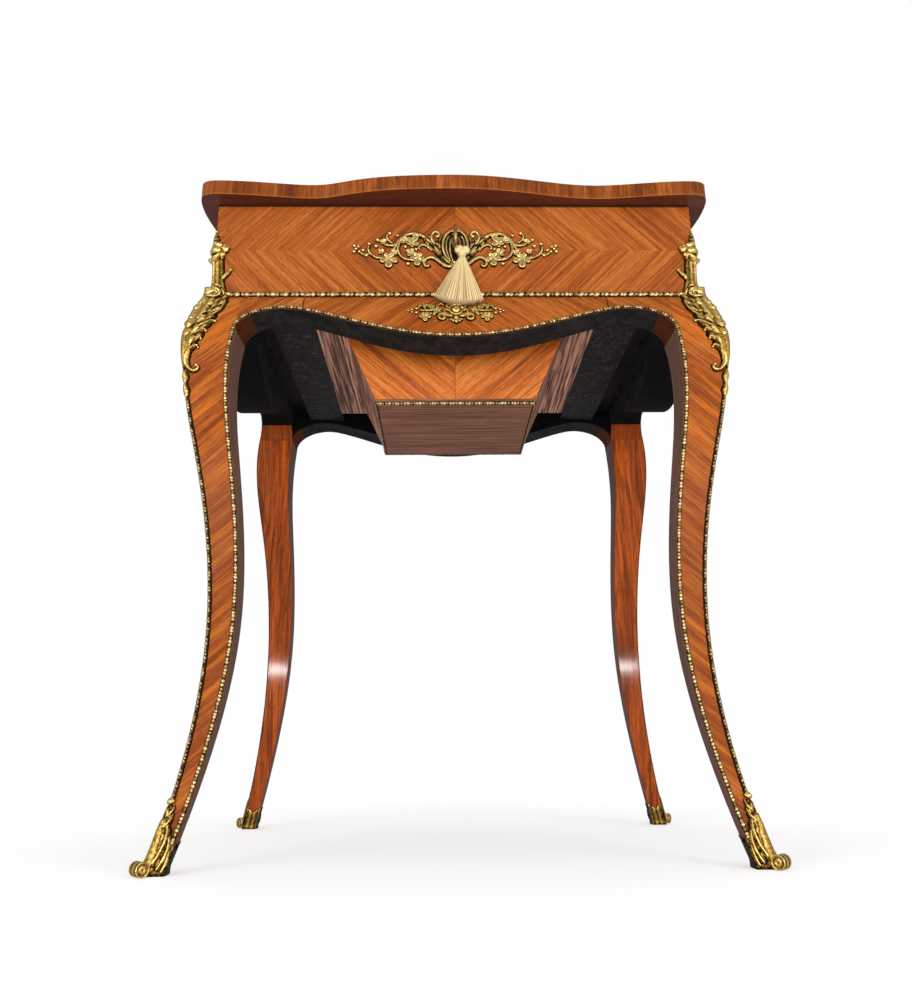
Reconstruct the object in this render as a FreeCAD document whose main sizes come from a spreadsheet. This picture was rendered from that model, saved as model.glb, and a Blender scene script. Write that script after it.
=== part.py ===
import FreeCAD, Part
import math
import os

# Work table: a serpentine hinged lid over a veneered case, a tapering well that slides out
# to the front under the case, four cabriole legs and gilt mounts. Millimetres, +Z up,
# front towards -Y, origin on the floor under the middle of the case.

V = FreeCAD.Vector
SIDES = (("left", -1), ("right", 1))
ENDS = (("front", -1), ("back", 1))
ARCH_STEPS = 6
WAVE_STEPS = 8
WAVE_POWER = 0.77
HALVINGS = 40

doc = FreeCAD.newDocument("work_table")
sheet = doc.addObject("Spreadsheet::Sheet", "Sizes")

DRIVING = (
    ("table_height", 730, "floor to the top of the lid"),
    ("case_width", 547, "case over its side friezes"),
    ("case_depth", 384, "case over its front and back friezes"),
    ("frieze_height", 120.7, "height of the friezes"),
    ("frieze_thickness", 18, "thickness of the friezes"),
    ("bottom_thickness", 8, "case bottom board"),
    ("apron_thickness", 33, "aprons, and the square block at the head of a leg"),
    ("post_height", 49, "leg post inside the case"),
    ("lid_thickness", 18, "lid board"),
    ("lid_gap", 0.3, "air between the closed lid and the friezes"),
    ("lid_centre_overhang", 31, "lid beyond the case at the middle of front and back"),
    ("lid_hollow_overhang", 11.5, "lid beyond the case at the hollows of front and back"),
    ("lid_hollow_place", 165, "hollows of front and back, from the middle"),
    ("lid_corner_overhang", 20, "lid beyond the case at the corners"),
    ("lid_corner_round", 17, "rounding of the lid's corners"),
    ("lid_corner_front_run", 27.2, "rounding of the corners, along front and back"),
    ("lid_corner_side_run", 20.4, "rounding of the corners, along the sides"),
    ("lid_side_hollow", 13, "lid beyond the case at the hollows of the sides"),
    ("lid_side_hollow_place", 105, "hollows of the sides, from the middle"),
    ("lid_side_overhang", 22, "lid beyond the case at the middle of the sides"),
    ("knee_drop", 71, "fullest point of the knee, below the frieze"),
    ("knee_projection", 17, "knee beyond the case"),
    ("throat_drop", 129, "narrowest point under the arch, below the frieze"),
    ("throat_inset", 30, "inner edge of the leg at the throat, from the case side"),
    ("shin_drop", 195, "height where the leg crosses the case side, below the frieze"),
    ("shin_thickness", 36.6, "leg at the shin"),
    ("ankle_height", 225, "slimmest stretch of the leg, above the floor"),
    ("ankle_recess", 18.2, "leg behind the case side at the ankle"),
    ("ankle_thickness", 27, "leg at the ankle"),
    ("foot_height", 66, "where the foot springs out, above the floor"),
    ("foot_recess", 1.8, "leg behind the case side where the foot springs out"),
    ("foot_thickness", 18, "leg where the foot springs out"),
    ("toe_projection", 14, "leg beyond the case side at the floor"),
    ("toe_thickness", 16, "leg at the floor"),
    ("spring_drop", 46, "foot of the apron arch at the leg, below the frieze"),
    ("arch_drop", 17.6, "crown of the apron arch, below the frieze"),
    ("arch_reach", 50.5, "crown of the apron arch, from the leg block"),
    ("apron_drop", 56, "middle of the apron, below the frieze"),
    ("trim_width", 5, "gilt edge moulding, across"),
    ("trim_proud", 2.2, "gilt edge moulding, height above the wood"),
    ("band_height", 7.5, "gilt frieze moulding, height"),
    ("band_proud", 3, "gilt frieze moulding, height above the wood"),
    ("mount_rise", 86, "corner mount above the foot of the frieze"),
    ("mount_drop", 97, "corner mount below the foot of the frieze"),
    ("mount_strap", 9, "corner mount, reach of its strap round the corner"),
    ("mount_leaf", 20, "corner mount, reach of its acanthus leaf"),
    ("strap_proud", 4, "corner mount, height of its strap above the wood"),
    ("leaf_proud", 10, "corner mount, height of its acanthus leaf above the wood"),
    ("leaf_foot_proud", 7, "corner mount, height of the leaf's foot above the wood"),
    ("bud_reach", 2.25, "bud at the top of the corner mount, reach round the corner"),
    ("bud_proud", 1.25, "bud, height above the wood"),
    ("bud_length", 9, "bud, from its tip to the strap"),
    ("strap_rise", 40, "straight part of the strap above the foot of the frieze"),
    ("strap_foot_rise", 14, "foot of the strap above the foot of the frieze"),
    ("scroll_reach", 13, "scroll under the strap, reach round the corner"),
    ("scroll_proud", 7, "scroll under the strap, height above the wood"),
    ("leaf_drop", 10, "top of the acanthus leaf, below the frieze"),
    ("leaf_waist_drop", 40, "where the acanthus leaf narrows, below the frieze"),
    ("leaf_foot_drop", 60, "foot of the acanthus leaf, below the frieze"),
    ("tail_reach", 3, "tail of the corner mount, reach round the corner"),
    ("tail_proud", 2.5, "tail, height above the wood"),
    ("sole_thickness", 3, "metal under the leg in the foot mount"),
    ("shoe_height", 26, "foot mount round the leg"),
    ("shoe_wall", 2.2, "foot mount wall"),
    ("shoe_leaf_height", 67, "top of the foot mount's leaf"),
    ("shoe_leaf_reach", 9, "foot mount's leaf, reach round the corner"),
    ("toe_roll_radius", 6.8, "rolled toe of the foot mount"),
    ("toe_roll_length", 16, "rolled toe, along its axis"),
    ("toe_roll_reach", 18, "axis of the rolled toe beyond the case side"),
    ("play", 0.3, "running gap of sliding wooden parts"),
    ("well_front_width", 340, "middle of the front apron between its seams"),
    ("rail_width", 50, "guide rail"),
    ("rail_thickness", 14, "guide rail, height"),
    ("tongue_depth", 6.5, "runner tongue in the rail's groove"),
    ("tongue_thickness", 4.4, "runner tongue, height"),
    ("seam_setback", 0.5, "tongue inside the line of the apron seam"),
    ("runner_length", 289, "runners, front to back"),
    ("cross_rail_width", 18, "cross rails of the well"),
    ("well_depth", 85.5, "runner underside to the bottom of the well"),
    ("well_top_width", 258, "well across its mouth"),
    ("well_bottom_width", 182, "well across its bottom"),
    ("well_top_setback", 67, "front of the well's mouth behind the case front"),
    ("well_bottom_setback", 77.5, "front of the well's bottom behind the case front"),
    ("well_top_length", 225, "well's mouth, front to back"),
    ("well_bottom_length", 183.5, "well's bottom, front to back"),
    ("well_wall", 8, "well panels"),
    ("well_floor", 8, "well bottom board"),
    ("key_drop", 54.7, "key axis below the top of the friezes"),
    ("lock_width", 60, "lock case"),
    ("lock_depth", 12, "lock case, front to back"),
    ("lock_height", 74, "lock case"),
    ("lock_plate", 2, "lock case walls"),
    ("bolt_height", 8, "bolt nose"),
    ("bolt_nose", 3, "bolt nose, front to back"),
    ("bolt_drop", 13, "bolt nose axis below the lock's top"),
    ("bolt_length", 21, "bolt body along its travel"),
    ("bolt_throw", 8, "travel of the bolt"),
    ("bolt_wall", 1, "bolt from the end of the lock's room"),
    ("bolt_tail_width", 12, "tail of the bolt beside the key bit"),
    ("bolt_tail_rise", 4, "foot of the bolt's tail above the key axis"),
    ("bolt_play", 0.2, "gap between the bolt and the lock's plates"),
    ("staple_thickness", 3, "staple along the bolt"),
    ("staple_wall", 1, "gap along the bolt on either side of the staple"),
    ("staple_rim", 1.2, "metal round the staple's eye"),
    ("staple_play", 0.5, "gap between the bolt and the staple's eye"),
    ("strike_length", 36, "strike plate on the lid"),
    ("key_radius", 2.6, "key shank"),
    ("key_bore", 1.3, "bore of the key's pipe"),
    ("pin_radius", 1.22, "drill pin in the lock"),
    ("key_stand", 14, "key shank before the case front"),
    ("bit_length", 8, "key bit below the shank"),
    ("bit_thickness", 2.4, "key bit, thickness"),
    ("bow_length", 7, "key bow along the shank, half, to the middle of its ring"),
    ("bow_height", 11.5, "key bow across the shank, half, to the middle of its ring"),
    ("bow_wire", 1.8, "key bow, radius of its ring"),
    ("keyhole_radius", 3.4, "keyhole"),
    ("keyhole_drop", 12, "foot of the keyhole below the key axis"),
    ("keyhole_slot", 3.6, "keyhole slot"),
    ("plate_width", 236, "escutcheon"),
    ("plate_rise", 20.5, "escutcheon above the key axis"),
    ("plate_fall", 30, "escutcheon below the key axis"),
    ("plate_proud", 4, "escutcheon, height above the wood"),
    ("badge_width", 108, "apron mount"),
    ("badge_height", 30, "apron mount"),
    ("badge_drop", 22, "middle of the apron mount below the frieze"),
    ("badge_proud", 4, "apron mount, height above the wood"),
    ("hinge_place", 150, "middle of a hinge from the middle of the back"),
    ("hinge_length", 50, "hinge"),
    ("hinge_knuckle", 20, "middle knuckle, which belongs to the fixed leaf"),
    ("hinge_leaf", 14, "hinge leaf inside the case's back face"),
    ("leaf_thickness", 1.5, "hinge leaf"),
    ("barrel_radius", 3.5, "hinge barrel"),
    ("hinge_pin_radius", 1.5, "hinge pin"),
    ("pin_clearance", 0.05, "hinge pin in the moving knuckles"),
    ("screw_radius", 1.6, "screw shanks"),
    ("screw_head_radius", 3, "screw heads"),
    ("screw_head_height", 1, "screw heads"),
    ("screw_length", 13, "screws, head included"),
    ("rail_screw_length", 19, "rail screws, head included"),
    ("rail_screw_place", 70, "rail screws before and behind the middle"),
    ("tassel_stand", 11, "tassel before the case front"),
    ("tassel_offset", 6, "tassel head to the right of the key"),
    ("tassel_drop", 16, "tassel head below the key axis"),
    ("tassel_head_radius", 6.5, "tassel head"),
    ("cord_radius", 0.9, "tassel cord"),
    ("cord_gap", 0.3, "tassel cord to the key shank"),
    ("cord_spread", 2, "ends of the cord from the middle of the tassel head"),
    ("cord_tail", 5, "ends of the cord below the middle of the tassel head"),
    ("skirt_length", 40.5, "tassel skirt"),
    ("skirt_top_radius", 4.5, "tassel skirt at its binding"),
    ("skirt_half_width", 27, "tassel skirt at its hem, half across"),
    ("skirt_half_depth", 6, "tassel skirt at its hem, half front to back"),
    ("template_reach", 60, "how far the outline prisms pass the case"),
)
for row, (alias, number, meaning) in enumerate(DRIVING, start=1):
    sheet.set(f"A{row}", meaning)
    sheet.set(f"B{row}", str(number))
    sheet.setAlias(f"B{row}", alias)
doc.recompute()

# Places that follow from the driving sizes, as expressions on the sheet
half_x = "(Sizes.case_width / 2)"
half_y = "(Sizes.case_depth / 2)"
inner_x = f"({half_x} - Sizes.frieze_thickness)"
inner_y = f"({half_y} - Sizes.frieze_thickness)"
block_x = f"({half_x} - Sizes.apron_thickness)"
block_y = f"({half_y} - Sizes.apron_thickness)"
lid_under = "(Sizes.table_height - Sizes.lid_thickness)"
frieze_top = f"({lid_under} - Sizes.lid_gap)"
frieze_low = f"({frieze_top} - Sizes.frieze_height)"
bottom_top = f"({frieze_low} + Sizes.bottom_thickness)"
seam_x = "(Sizes.well_front_width / 2)"
tongue_x = f"({seam_x} - Sizes.seam_setback)"
runner_x = f"({tongue_x} - Sizes.tongue_depth)"
runner_inner = "(Sizes.well_top_width / 2 - Sizes.well_wall)"
runner_top = f"({frieze_low} - Sizes.play)"
rail_low = f"({frieze_low} - Sizes.rail_thickness)"
runner_low = f"({rail_low} + Sizes.play)"
rail_middle = f"({frieze_low} - Sizes.rail_thickness / 2)"
rail_x = f"({runner_x} + Sizes.play)"
rail_outer = f"({rail_x} + Sizes.rail_width)"
well_low = f"({runner_low} - Sizes.well_depth)"
lock_low = f"({frieze_top} - Sizes.lock_height)"
lock_front = f"(-{inner_y} - Sizes.lock_depth)"
lock_middle = f"(-{inner_y} - Sizes.lock_depth / 2)"
bolt_axis = f"({frieze_top} - Sizes.bolt_drop)"
hinge_y = f"({half_y} + Sizes.barrel_radius + Sizes.play)"
hinge_z = f"({lid_under} - Sizes.lid_gap / 2)"
key_z = f"({frieze_top} - Sizes.key_drop)"
tassel_y = f"(-{half_y} - Sizes.tassel_stand)"
tassel_z = f"({key_z} - Sizes.tassel_drop)"
well_top_front = f"({half_y} - Sizes.well_top_setback)"
well_top_back = f"(Sizes.well_top_length - {well_top_front})"
well_bottom_front = f"({half_y} - Sizes.well_bottom_setback)"
well_bottom_back = f"(Sizes.well_bottom_length - {well_bottom_front})"
spring_z = f"({frieze_low} - Sizes.spring_drop)"
reach_x = f"({half_x} + Sizes.template_reach)"
reach_y = f"({half_y} + Sizes.template_reach)"

pieces = []


def mm(expression):
    """Value of an expression on the sheet."""
    return float(sheet.evalExpression(expression))


def piece(obj, label):
    """Name a finished sub-part and put it on the list of pieces to write."""
    obj.Label = label
    pieces.append(obj)
    return obj


def box(name, x, y, z):
    """Box between low and high expressions along each axis."""
    solid = doc.addObject("Part::Box", name)
    for length, axis, (low, high) in (("Length", "x", x), ("Width", "y", y), ("Height", "z", z)):
        solid.setExpression(length, f"({high}) - ({low})")
        solid.setExpression(f"Placement.Base.{axis}", f"{low}")
    return solid


def rod(name, radius, direction, length, x, y, z):
    """Cylinder from a point along a direction."""
    solid = doc.addObject("Part::Cylinder", name)
    solid.Placement = FreeCAD.Placement(V(), FreeCAD.Rotation(V(0, 0, 1), direction))
    solid.setExpression("Radius", radius)
    solid.setExpression("Height", length)
    for axis, place in (("x", x), ("y", y), ("z", z)):
        solid.setExpression(f"Placement.Base.{axis}", f"{place}")
    return solid


def fuse(name, *shapes):
    obj = doc.addObject("Part::MultiFuse", name)
    obj.Shapes = list(shapes)
    return obj


def common(name, *shapes):
    obj = doc.addObject("Part::MultiCommon", name)
    obj.Shapes = list(shapes)
    return obj


def group(name, *shapes):
    obj = doc.addObject("Part::Compound", name)
    obj.Links = list(shapes)
    return obj


def cut(name, base, *tools):
    obj = doc.addObject("Part::Cut", name)
    obj.Base = base
    obj.Tool = tools[0] if len(tools) == 1 else group(f"{name}_tools", *tools)
    return obj


def front_view(side):
    """Map (u, z) to the front view: u is the distance beyond the case side."""
    return lambda u, z: V(side * (mm(half_x) + u), 0, z)


def side_view(end):
    """Map (u, z) to the side view: u is the distance beyond the case front or back."""
    return lambda u, z: V(0, end * (mm(half_y) + u), z)


def outline(view, *runs):
    """Face inside a closed outline: a run of two points is a line, a longer run a smooth curve."""
    edges = []
    for run in runs:
        points = [view(u, z) for u, z in run]
        if len(points) == 2:
            edges.append(Part.LineSegment(*points).toShape())
        else:
            curve = Part.BSplineCurve()
            curve.interpolate(points)
            edges.append(curve.toShape())
    return Part.Face(Part.Wire(edges))


def prism(name, face, direction, length, both_ways=False):
    """Extrusion of a template face, to one side or about its plane."""
    template = doc.addObject("Part::Feature", f"{name}_template")
    template.Shape = face
    solid = doc.addObject("Part::Extrusion", name)
    solid.Base = template
    solid.DirMode = "Custom"
    solid.Dir = direction
    solid.Solid = True
    solid.Symmetric = both_ways
    solid.setExpression("LengthFwd", length)
    return solid


# Leg templates: (distance beyond the case side, height), the same in front and side view
low = mm(frieze_low)
spring = low - mm("Sizes.spring_drop")
block = mm("Sizes.apron_thickness")
OUTER = [
    (0, low),
    (mm("Sizes.knee_projection"), low - mm("Sizes.knee_drop")),
    (0, low - mm("Sizes.shin_drop")),
    (-mm("Sizes.ankle_recess"), mm("Sizes.ankle_height")),
    (-mm("Sizes.foot_recess"), mm("Sizes.foot_height")),
    (mm("Sizes.toe_projection"), 0),
]
INNER = [
    (-block, spring),
    (-mm("Sizes.throat_inset"), low - mm("Sizes.throat_drop")),
    (-mm("Sizes.shin_thickness"), low - mm("Sizes.shin_drop")),
    (-mm("Sizes.ankle_recess + Sizes.ankle_thickness"), mm("Sizes.ankle_height")),
    (-mm("Sizes.foot_recess + Sizes.foot_thickness"), mm("Sizes.foot_height")),
    (mm("Sizes.toe_projection - Sizes.toe_thickness"), 0),
]
outer_curve = Part.BSplineCurve()
outer_curve.interpolate([V(u, 0, z) for u, z in OUTER])


def outer_at(height):
    """Distance of the leg's outer edge beyond the case side at a height, by halving the curve."""
    if height >= low:
        return 0
    top, foot = outer_curve.FirstParameter, outer_curve.LastParameter
    for step in range(HALVINGS):
        middle = (top + foot) / 2
        if outer_curve.value(middle).z > height:
            top = middle
        else:
            foot = middle
    return outer_curve.value(top).x


def shifted(run, distance):
    """Run of template points moved outwards."""
    return [(u + distance, z) for u, z in run]


def column(view, near, far):
    """Face between two runs that end at the same heights."""
    return outline(view, near, [near[-1], far[-1]], far[::-1], [far[0], near[0]])


def layer(view, depth_in, depth_out):
    """Section of a layer that follows the leg's outer curve from the frieze to the floor."""
    return column(view, shifted(OUTER, depth_in), shifted(OUTER, depth_out))


def leg_face(view, grown):
    """Outline of a leg with its block, grown all round by a wall."""
    outer = shifted(OUTER, grown)
    inner = shifted(INNER, -grown)
    shoulder = (-block - grown, low)
    return outline(view, outer, [outer[-1], inner[-1]], inner[::-1], [inner[0], shoulder],
                   [shoulder, outer[0]])


def crossed(name, corner, front_face, side_face):
    """Solid that shows one template from the front and another from the side, at one corner."""
    side, end = corner
    return common(name, prism(f"{name}_front", front_face, V(0, end, 0), reach_y),
                  prism(f"{name}_side", side_face, V(side, 0, 0), reach_x))


def slab(name, low_z, high_z):
    """Everything between two heights."""
    return box(name, (f"-{reach_x}", reach_x), (f"-{reach_y}", reach_y), (low_z, high_z))


# Friezes of the case, before the cuts for lock and hinges
frieze_z = (frieze_low, frieze_top)
across = (f"-{half_x}", half_x)
front_blank = box("front_frieze_blank", across, (f"-{half_y}", f"-{inner_y}"), frieze_z)
back_blank = box("back_frieze_blank", across, (inner_y, half_y), frieze_z)
for side_name, side in SIDES:
    span = (f"-{half_x}", f"-{inner_x}") if side < 0 else (inner_x, half_x)
    piece(box(f"{side_name}_frieze", span, (f"-{inner_y}", inner_y), frieze_z), f"{side_name}_frieze")
case_block = box("case_block", across, (f"-{half_y}", half_y), frieze_z)

# Corner mount, from its bud down to its tail: height, reach round the corner, height above the wood
mount_top = low + mm("Sizes.mount_rise")
mount_foot = low - mm("Sizes.mount_drop")
strap = mm("Sizes.mount_strap")
leaf = mm("Sizes.mount_leaf")
lift = mm("Sizes.strap_proud")
bulge = mm("Sizes.leaf_proud")
MOUNT = (
    (mount_top, mm("Sizes.bud_reach"), mm("Sizes.bud_proud")),
    (mount_top - mm("Sizes.bud_length"), strap, lift),
    (low + mm("Sizes.strap_rise"), strap, lift),
    (low + mm("Sizes.strap_foot_rise"), strap, lift),
    (low, mm("Sizes.scroll_reach"), mm("Sizes.scroll_proud")),
    (low - mm("Sizes.leaf_drop"), leaf, bulge),
    (low - mm("Sizes.leaf_waist_drop"), leaf, bulge),
    (low - mm("Sizes.leaf_foot_drop"), strap, mm("Sizes.leaf_foot_proud")),
    (mount_foot, mm("Sizes.tail_reach"), mm("Sizes.tail_proud")),
)
mount_outer = [(outer_at(z) + thick, z) for z, reach, thick in MOUNT]
mount_inner = [(outer_at(z) - reach, z) for z, reach, thick in MOUNT]

# Legs with their posts, corner mounts, foot mounts and edge mouldings
trim = mm("Sizes.trim_width")
proud = mm("Sizes.trim_proud")
wall = mm("Sizes.shoe_wall")
leaf_reach = mm("Sizes.shoe_leaf_reach")
sole = slab("sole_cut", "0", "Sizes.sole_thickness")
half_roll = "Sizes.toe_roll_length / 2 * sqrt(1 / 2)"
post_boxes = []
for end_name, end in ENDS:
    for side_name, side in SIDES:
        name = f"{end_name}_{side_name}"
        corner = (side, end)
        front = front_view(side)
        flank = side_view(end)

        post_x = (f"-{inner_x}", f"-{block_x}") if side < 0 else (block_x, inner_x)
        post_y = (f"-{inner_y}", f"-{block_y}") if end < 0 else (block_y, inner_y)
        post = box(f"{name}_post", post_x, post_y, (frieze_low, f"{frieze_low} + Sizes.post_height"))
        post_boxes.append(post)
        stem = crossed(f"{name}_stem", corner, leg_face(front, 0), leg_face(flank, 0))
        leg = piece(cut(f"{name}_leg", fuse(f"{name}_leg_whole", stem, post), sole), f"{name}_leg")

        mount_block = crossed(f"{name}_mount_block", corner, column(front, mount_outer, mount_inner),
                              column(flank, mount_outer, mount_inner))
        piece(cut(f"{name}_corner_mount", mount_block, leg, case_block), f"{name}_corner_mount")

        shoe_column = crossed(f"{name}_shoe_column", corner, leg_face(front, wall), leg_face(flank, wall))
        shoe = common(f"{name}_shoe", shoe_column, slab(f"{name}_shoe_slab", "0", "Sizes.shoe_height"))
        leaf_column = crossed(f"{name}_leaf_column", corner, layer(front, -leaf_reach, wall),
                              layer(flank, -leaf_reach, wall))
        shoe_leaf = common(f"{name}_shoe_leaf", leaf_column,
                           slab(f"{name}_leaf_slab", "Sizes.shoe_height", "Sizes.shoe_leaf_height"))
        roll = rod(f"{name}_toe_roll", "Sizes.toe_roll_radius", V(side, -end, 0), "Sizes.toe_roll_length",
                   f"{side} * ({half_x} + Sizes.toe_roll_reach - {half_roll})",
                   f"{end} * ({half_y} + Sizes.toe_roll_reach + {half_roll})", "Sizes.toe_roll_radius")
        whole = fuse(f"{name}_sabot_whole", shoe, shoe_leaf, roll)
        piece(cut(f"{name}_sabot", whole, leg), f"{name}_sabot")

        front_column = crossed(f"{name}_front_edge_column", corner,
                               column(front, INNER, shifted(INNER, trim)), layer(flank, 0, proud))
        front_edge = common(f"{name}_front_edge", front_column,
                            slab(f"{name}_front_edge_slab", "Sizes.shoe_height", spring_z))
        side_column = crossed(f"{name}_side_edge_column", corner, layer(front, 0, proud),
                              column(flank, INNER, shifted(INNER, trim)))
        side_edge = common(f"{name}_side_edge", side_column,
                           slab(f"{name}_side_edge_slab", "Sizes.shoe_height", spring_z))
        arris_column = crossed(f"{name}_arris_column", corner, layer(front, -trim, proud),
                               layer(flank, -trim, proud))
        arris_slab = slab(f"{name}_arris_slab", "Sizes.shoe_leaf_height", f"{frieze_low} - Sizes.mount_drop")
        arris = common(f"{name}_arris", cut(f"{name}_arris_shell", arris_column, leg), arris_slab)
        piece(group(f"{name}_leg_mouldings", front_edge, side_edge, arris), f"{name}_leg_mouldings")


def arch(half):
    """Lower edge of an apron from the leg block to the middle: a quarter ellipse, then a cosine.

    The cosine takes a power of the distance, so that the edge falls sooner near the leg.
    """
    reach = mm("Sizes.arch_reach")
    crown = low - mm("Sizes.arch_drop")
    middle = low - mm("Sizes.apron_drop")
    points = []
    for step in range(ARCH_STEPS):
        turn = math.pi / 2 * step / ARCH_STEPS
        points.append((-block - reach * (1 - math.cos(turn)), spring + (crown - spring) * math.sin(turn)))
    for step in range(WAVE_STEPS + 1):
        part = step / WAVE_STEPS
        u = -block - reach - (half - block - reach) * part
        points.append((u, crown - (crown - middle) * (1 - math.cos(math.pi * part ** WAVE_POWER)) / 2))
    return points


def into_wood(points, distance):
    """Apron edge moved into the wood, square to its run."""
    moved = []
    for index, (u, z) in enumerate(points):
        before = points[max(index - 1, 0)]
        after = points[min(index + 1, len(points) - 1)]
        run, rise = after[0] - before[0], after[1] - before[1]
        length = math.hypot(run, rise)
        moved.append((u + rise / length * distance, z - run / length * distance))
    moved[0] = (points[0][0] + distance, points[0][1])
    moved[-1] = (points[-1][0], points[-1][1] + distance)
    return moved


def whole_edge(points, half):
    """Edge over one half of an apron, carried on over the mirrored half."""
    return points + [(-2 * half - u, z) for u, z in points[-2::-1]]


def apron_solids(name, edge_way, section_way, half):
    """An apron and its lower moulding, each as an edge template through a section template.

    A way is the view of a template, its direction of extrusion and the length of that.
    """
    edge_view, edge_direction, edge_length = edge_way
    section_view, section_direction, section_length = section_way
    edge = whole_edge(arch(half), half)
    band = whole_edge(into_wood(arch(half), trim), half)
    first, last = (edge[0][0], low), (edge[-1][0], low)
    apron_face = outline(edge_view, edge, [edge[-1], last], [last, first], [first, edge[0]])
    heel, head = (-block, 0), (-block, low)
    section = outline(section_view, OUTER, [OUTER[-1], heel], [heel, head], [head, OUTER[0]])
    skin = layer(section_view, 0, proud)
    board = common(f"{name}_board", prism(f"{name}_edge", apron_face, edge_direction, edge_length),
                   prism(f"{name}_section", section, section_direction, section_length, True))
    strip = common(f"{name}_strip",
                   prism(f"{name}_band", column(edge_view, edge, band), edge_direction, edge_length),
                   prism(f"{name}_skin", skin, section_direction, section_length, True))
    return board, strip


# Aprons and their mouldings; the front one is cut at the two seams
apron_strips = []
front_board, front_strip = apron_solids("front_apron", (front_view(1), V(0, -1, 0), reach_y),
                                        (side_view(-1), V(1, 0, 0), f"2 * {reach_x}"), mm(half_x))
back_board, back_strip = apron_solids("back_apron", (front_view(1), V(0, 1, 0), reach_y),
                                      (side_view(1), V(1, 0, 0), f"2 * {reach_x}"), mm(half_x))
piece(back_board, "back_apron")
apron_strips.append(back_strip)
fixed_seam = f"({seam_x} + Sizes.play / 2)"
moving_seam = f"({seam_x} - Sizes.play / 2)"
whole_y = (f"-{reach_y}", "0")
for side_name, side in SIDES:
    board, strip = apron_solids(f"{side_name}_apron", (side_view(1), V(side, 0, 0), reach_x),
                                (front_view(side), V(0, 1, 0), f"2 * {reach_y}"), mm(half_y))
    piece(board, f"{side_name}_apron")
    apron_strips.append(strip)
    span = (f"-{reach_x}", f"-{fixed_seam}") if side < 0 else (fixed_seam, reach_x)
    end_box = box(f"front_{side_name}_apron_end", span, whole_y, ("0", frieze_low))
    piece(common(f"front_{side_name}_apron", front_board, end_box), f"front_{side_name}_apron")
    apron_strips.append(common(f"front_{side_name}_strip", front_strip, end_box))
piece(group("apron_mouldings", *apron_strips), "apron_mouldings")
well_box = box("well_apron_middle", (f"-{moving_seam}", moving_seam), whole_y, ("0", runner_top))
piece(common("well_front_apron", front_board, well_box), "well_front_apron")
piece(common("well_apron_moulding", front_strip, well_box), "well_apron_moulding")

# Gilt moulding along the foot of the friezes, between the corner mounts
band_z = (frieze_low, f"{frieze_low} + Sizes.band_height")
band_x = f"({half_x} - 2 * Sizes.mount_strap)"
band_y = f"({half_y} - 2 * Sizes.mount_strap)"
front_out = f"({half_y} + Sizes.band_proud)"
side_out = f"({half_x} + Sizes.band_proud)"
piece(group("frieze_mouldings",
            box("front_band", (f"-{band_x}", band_x), (f"-{front_out}", f"-{half_y}"), band_z),
            box("back_band", (f"-{band_x}", band_x), (half_y, front_out), band_z),
            box("left_band", (f"-{side_out}", f"-{half_x}"), (f"-{band_y}", band_y), band_z),
            box("right_band", (half_x, side_out), (f"-{band_y}", band_y), band_z)), "frieze_mouldings")


def screw(name, x, y, z, up, length):
    """Screw with a flat head whose outer face is at z; it runs upwards or downwards."""
    direction = V(0, 0, up)
    head = rod(f"{name}_head", "Sizes.screw_head_radius", direction, "Sizes.screw_head_height", x, y, z)
    shank = rod(f"{name}_shank", "Sizes.screw_radius", direction, length, x, y, z)
    return fuse(name, head, shank)


# Case bottom, guide rails with their grooves, and the rail screws
rail_screws = []
for side_name, side in SIDES:
    span = (f"-{rail_outer}", f"-{rail_x}") if side < 0 else (rail_x, rail_outer)
    groove_end = f"({tongue_x} + Sizes.play)"
    groove_x = (f"-{groove_end}", f"-{rail_x}") if side < 0 else (rail_x, groove_end)
    groove_half = "(Sizes.tongue_thickness / 2 + Sizes.play)"
    blank = box(f"{side_name}_rail_blank", span, (f"-{block_y}", block_y), (rail_low, frieze_low))
    groove = box(f"{side_name}_groove", groove_x, (f"-{block_y}", block_y),
                 (f"{rail_middle} - {groove_half}", f"{rail_middle} + {groove_half}"))
    own_screws = [screw(f"{side_name}_{end_name}_rail_screw", f"{side} * ({rail_x} + {rail_outer}) / 2",
                        f"{end} * Sizes.rail_screw_place", rail_low, 1, "Sizes.rail_screw_length")
                  for end_name, end in ENDS]
    rail_screws.extend(own_screws)
    piece(cut(f"{side_name}_guide_rail", blank, groove, *own_screws), f"{side_name}_guide_rail")
piece(group("rail_screws", *rail_screws), "rail_screws")
bottom_blank = box("case_bottom_blank", (f"-{inner_x}", inner_x), (f"-{inner_y}", inner_y),
                   (frieze_low, bottom_top))
piece(cut("case_bottom", bottom_blank, *post_boxes, *rail_screws), "case_bottom")

# Runners with their tongues, and the cross rails between them
tongue_half = "Sizes.tongue_thickness / 2"
tongue_z = (f"{rail_middle} - {tongue_half}", f"{rail_middle} + {tongue_half}")
for side_name, side in SIDES:
    body_x = (f"-{runner_x}", f"-{runner_inner}") if side < 0 else (runner_inner, runner_x)
    tongue_span = (f"-{tongue_x}", f"-{runner_x}") if side < 0 else (runner_x, tongue_x)
    runner_y = (f"-{block_y}", f"Sizes.runner_length - {block_y}")
    body = box(f"{side_name}_runner_body", body_x, runner_y, (runner_low, runner_top))
    tongue = box(f"{side_name}_tongue", tongue_span, runner_y, tongue_z)
    piece(fuse(f"{side_name}_runner", body, tongue), f"{side_name}_runner")
cross_x = (f"-{runner_inner}", runner_inner)
front_cross_y = (f"-{well_top_front}", f"Sizes.cross_rail_width - {well_top_front}")
back_cross_y = (f"{well_top_back} - Sizes.cross_rail_width", well_top_back)
piece(box("front_cross_rail", cross_x, front_cross_y, (runner_low, runner_top)), "front_cross_rail")
piece(box("back_cross_rail", cross_x, back_cross_y, (runner_low, runner_top)), "back_cross_rail")


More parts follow.
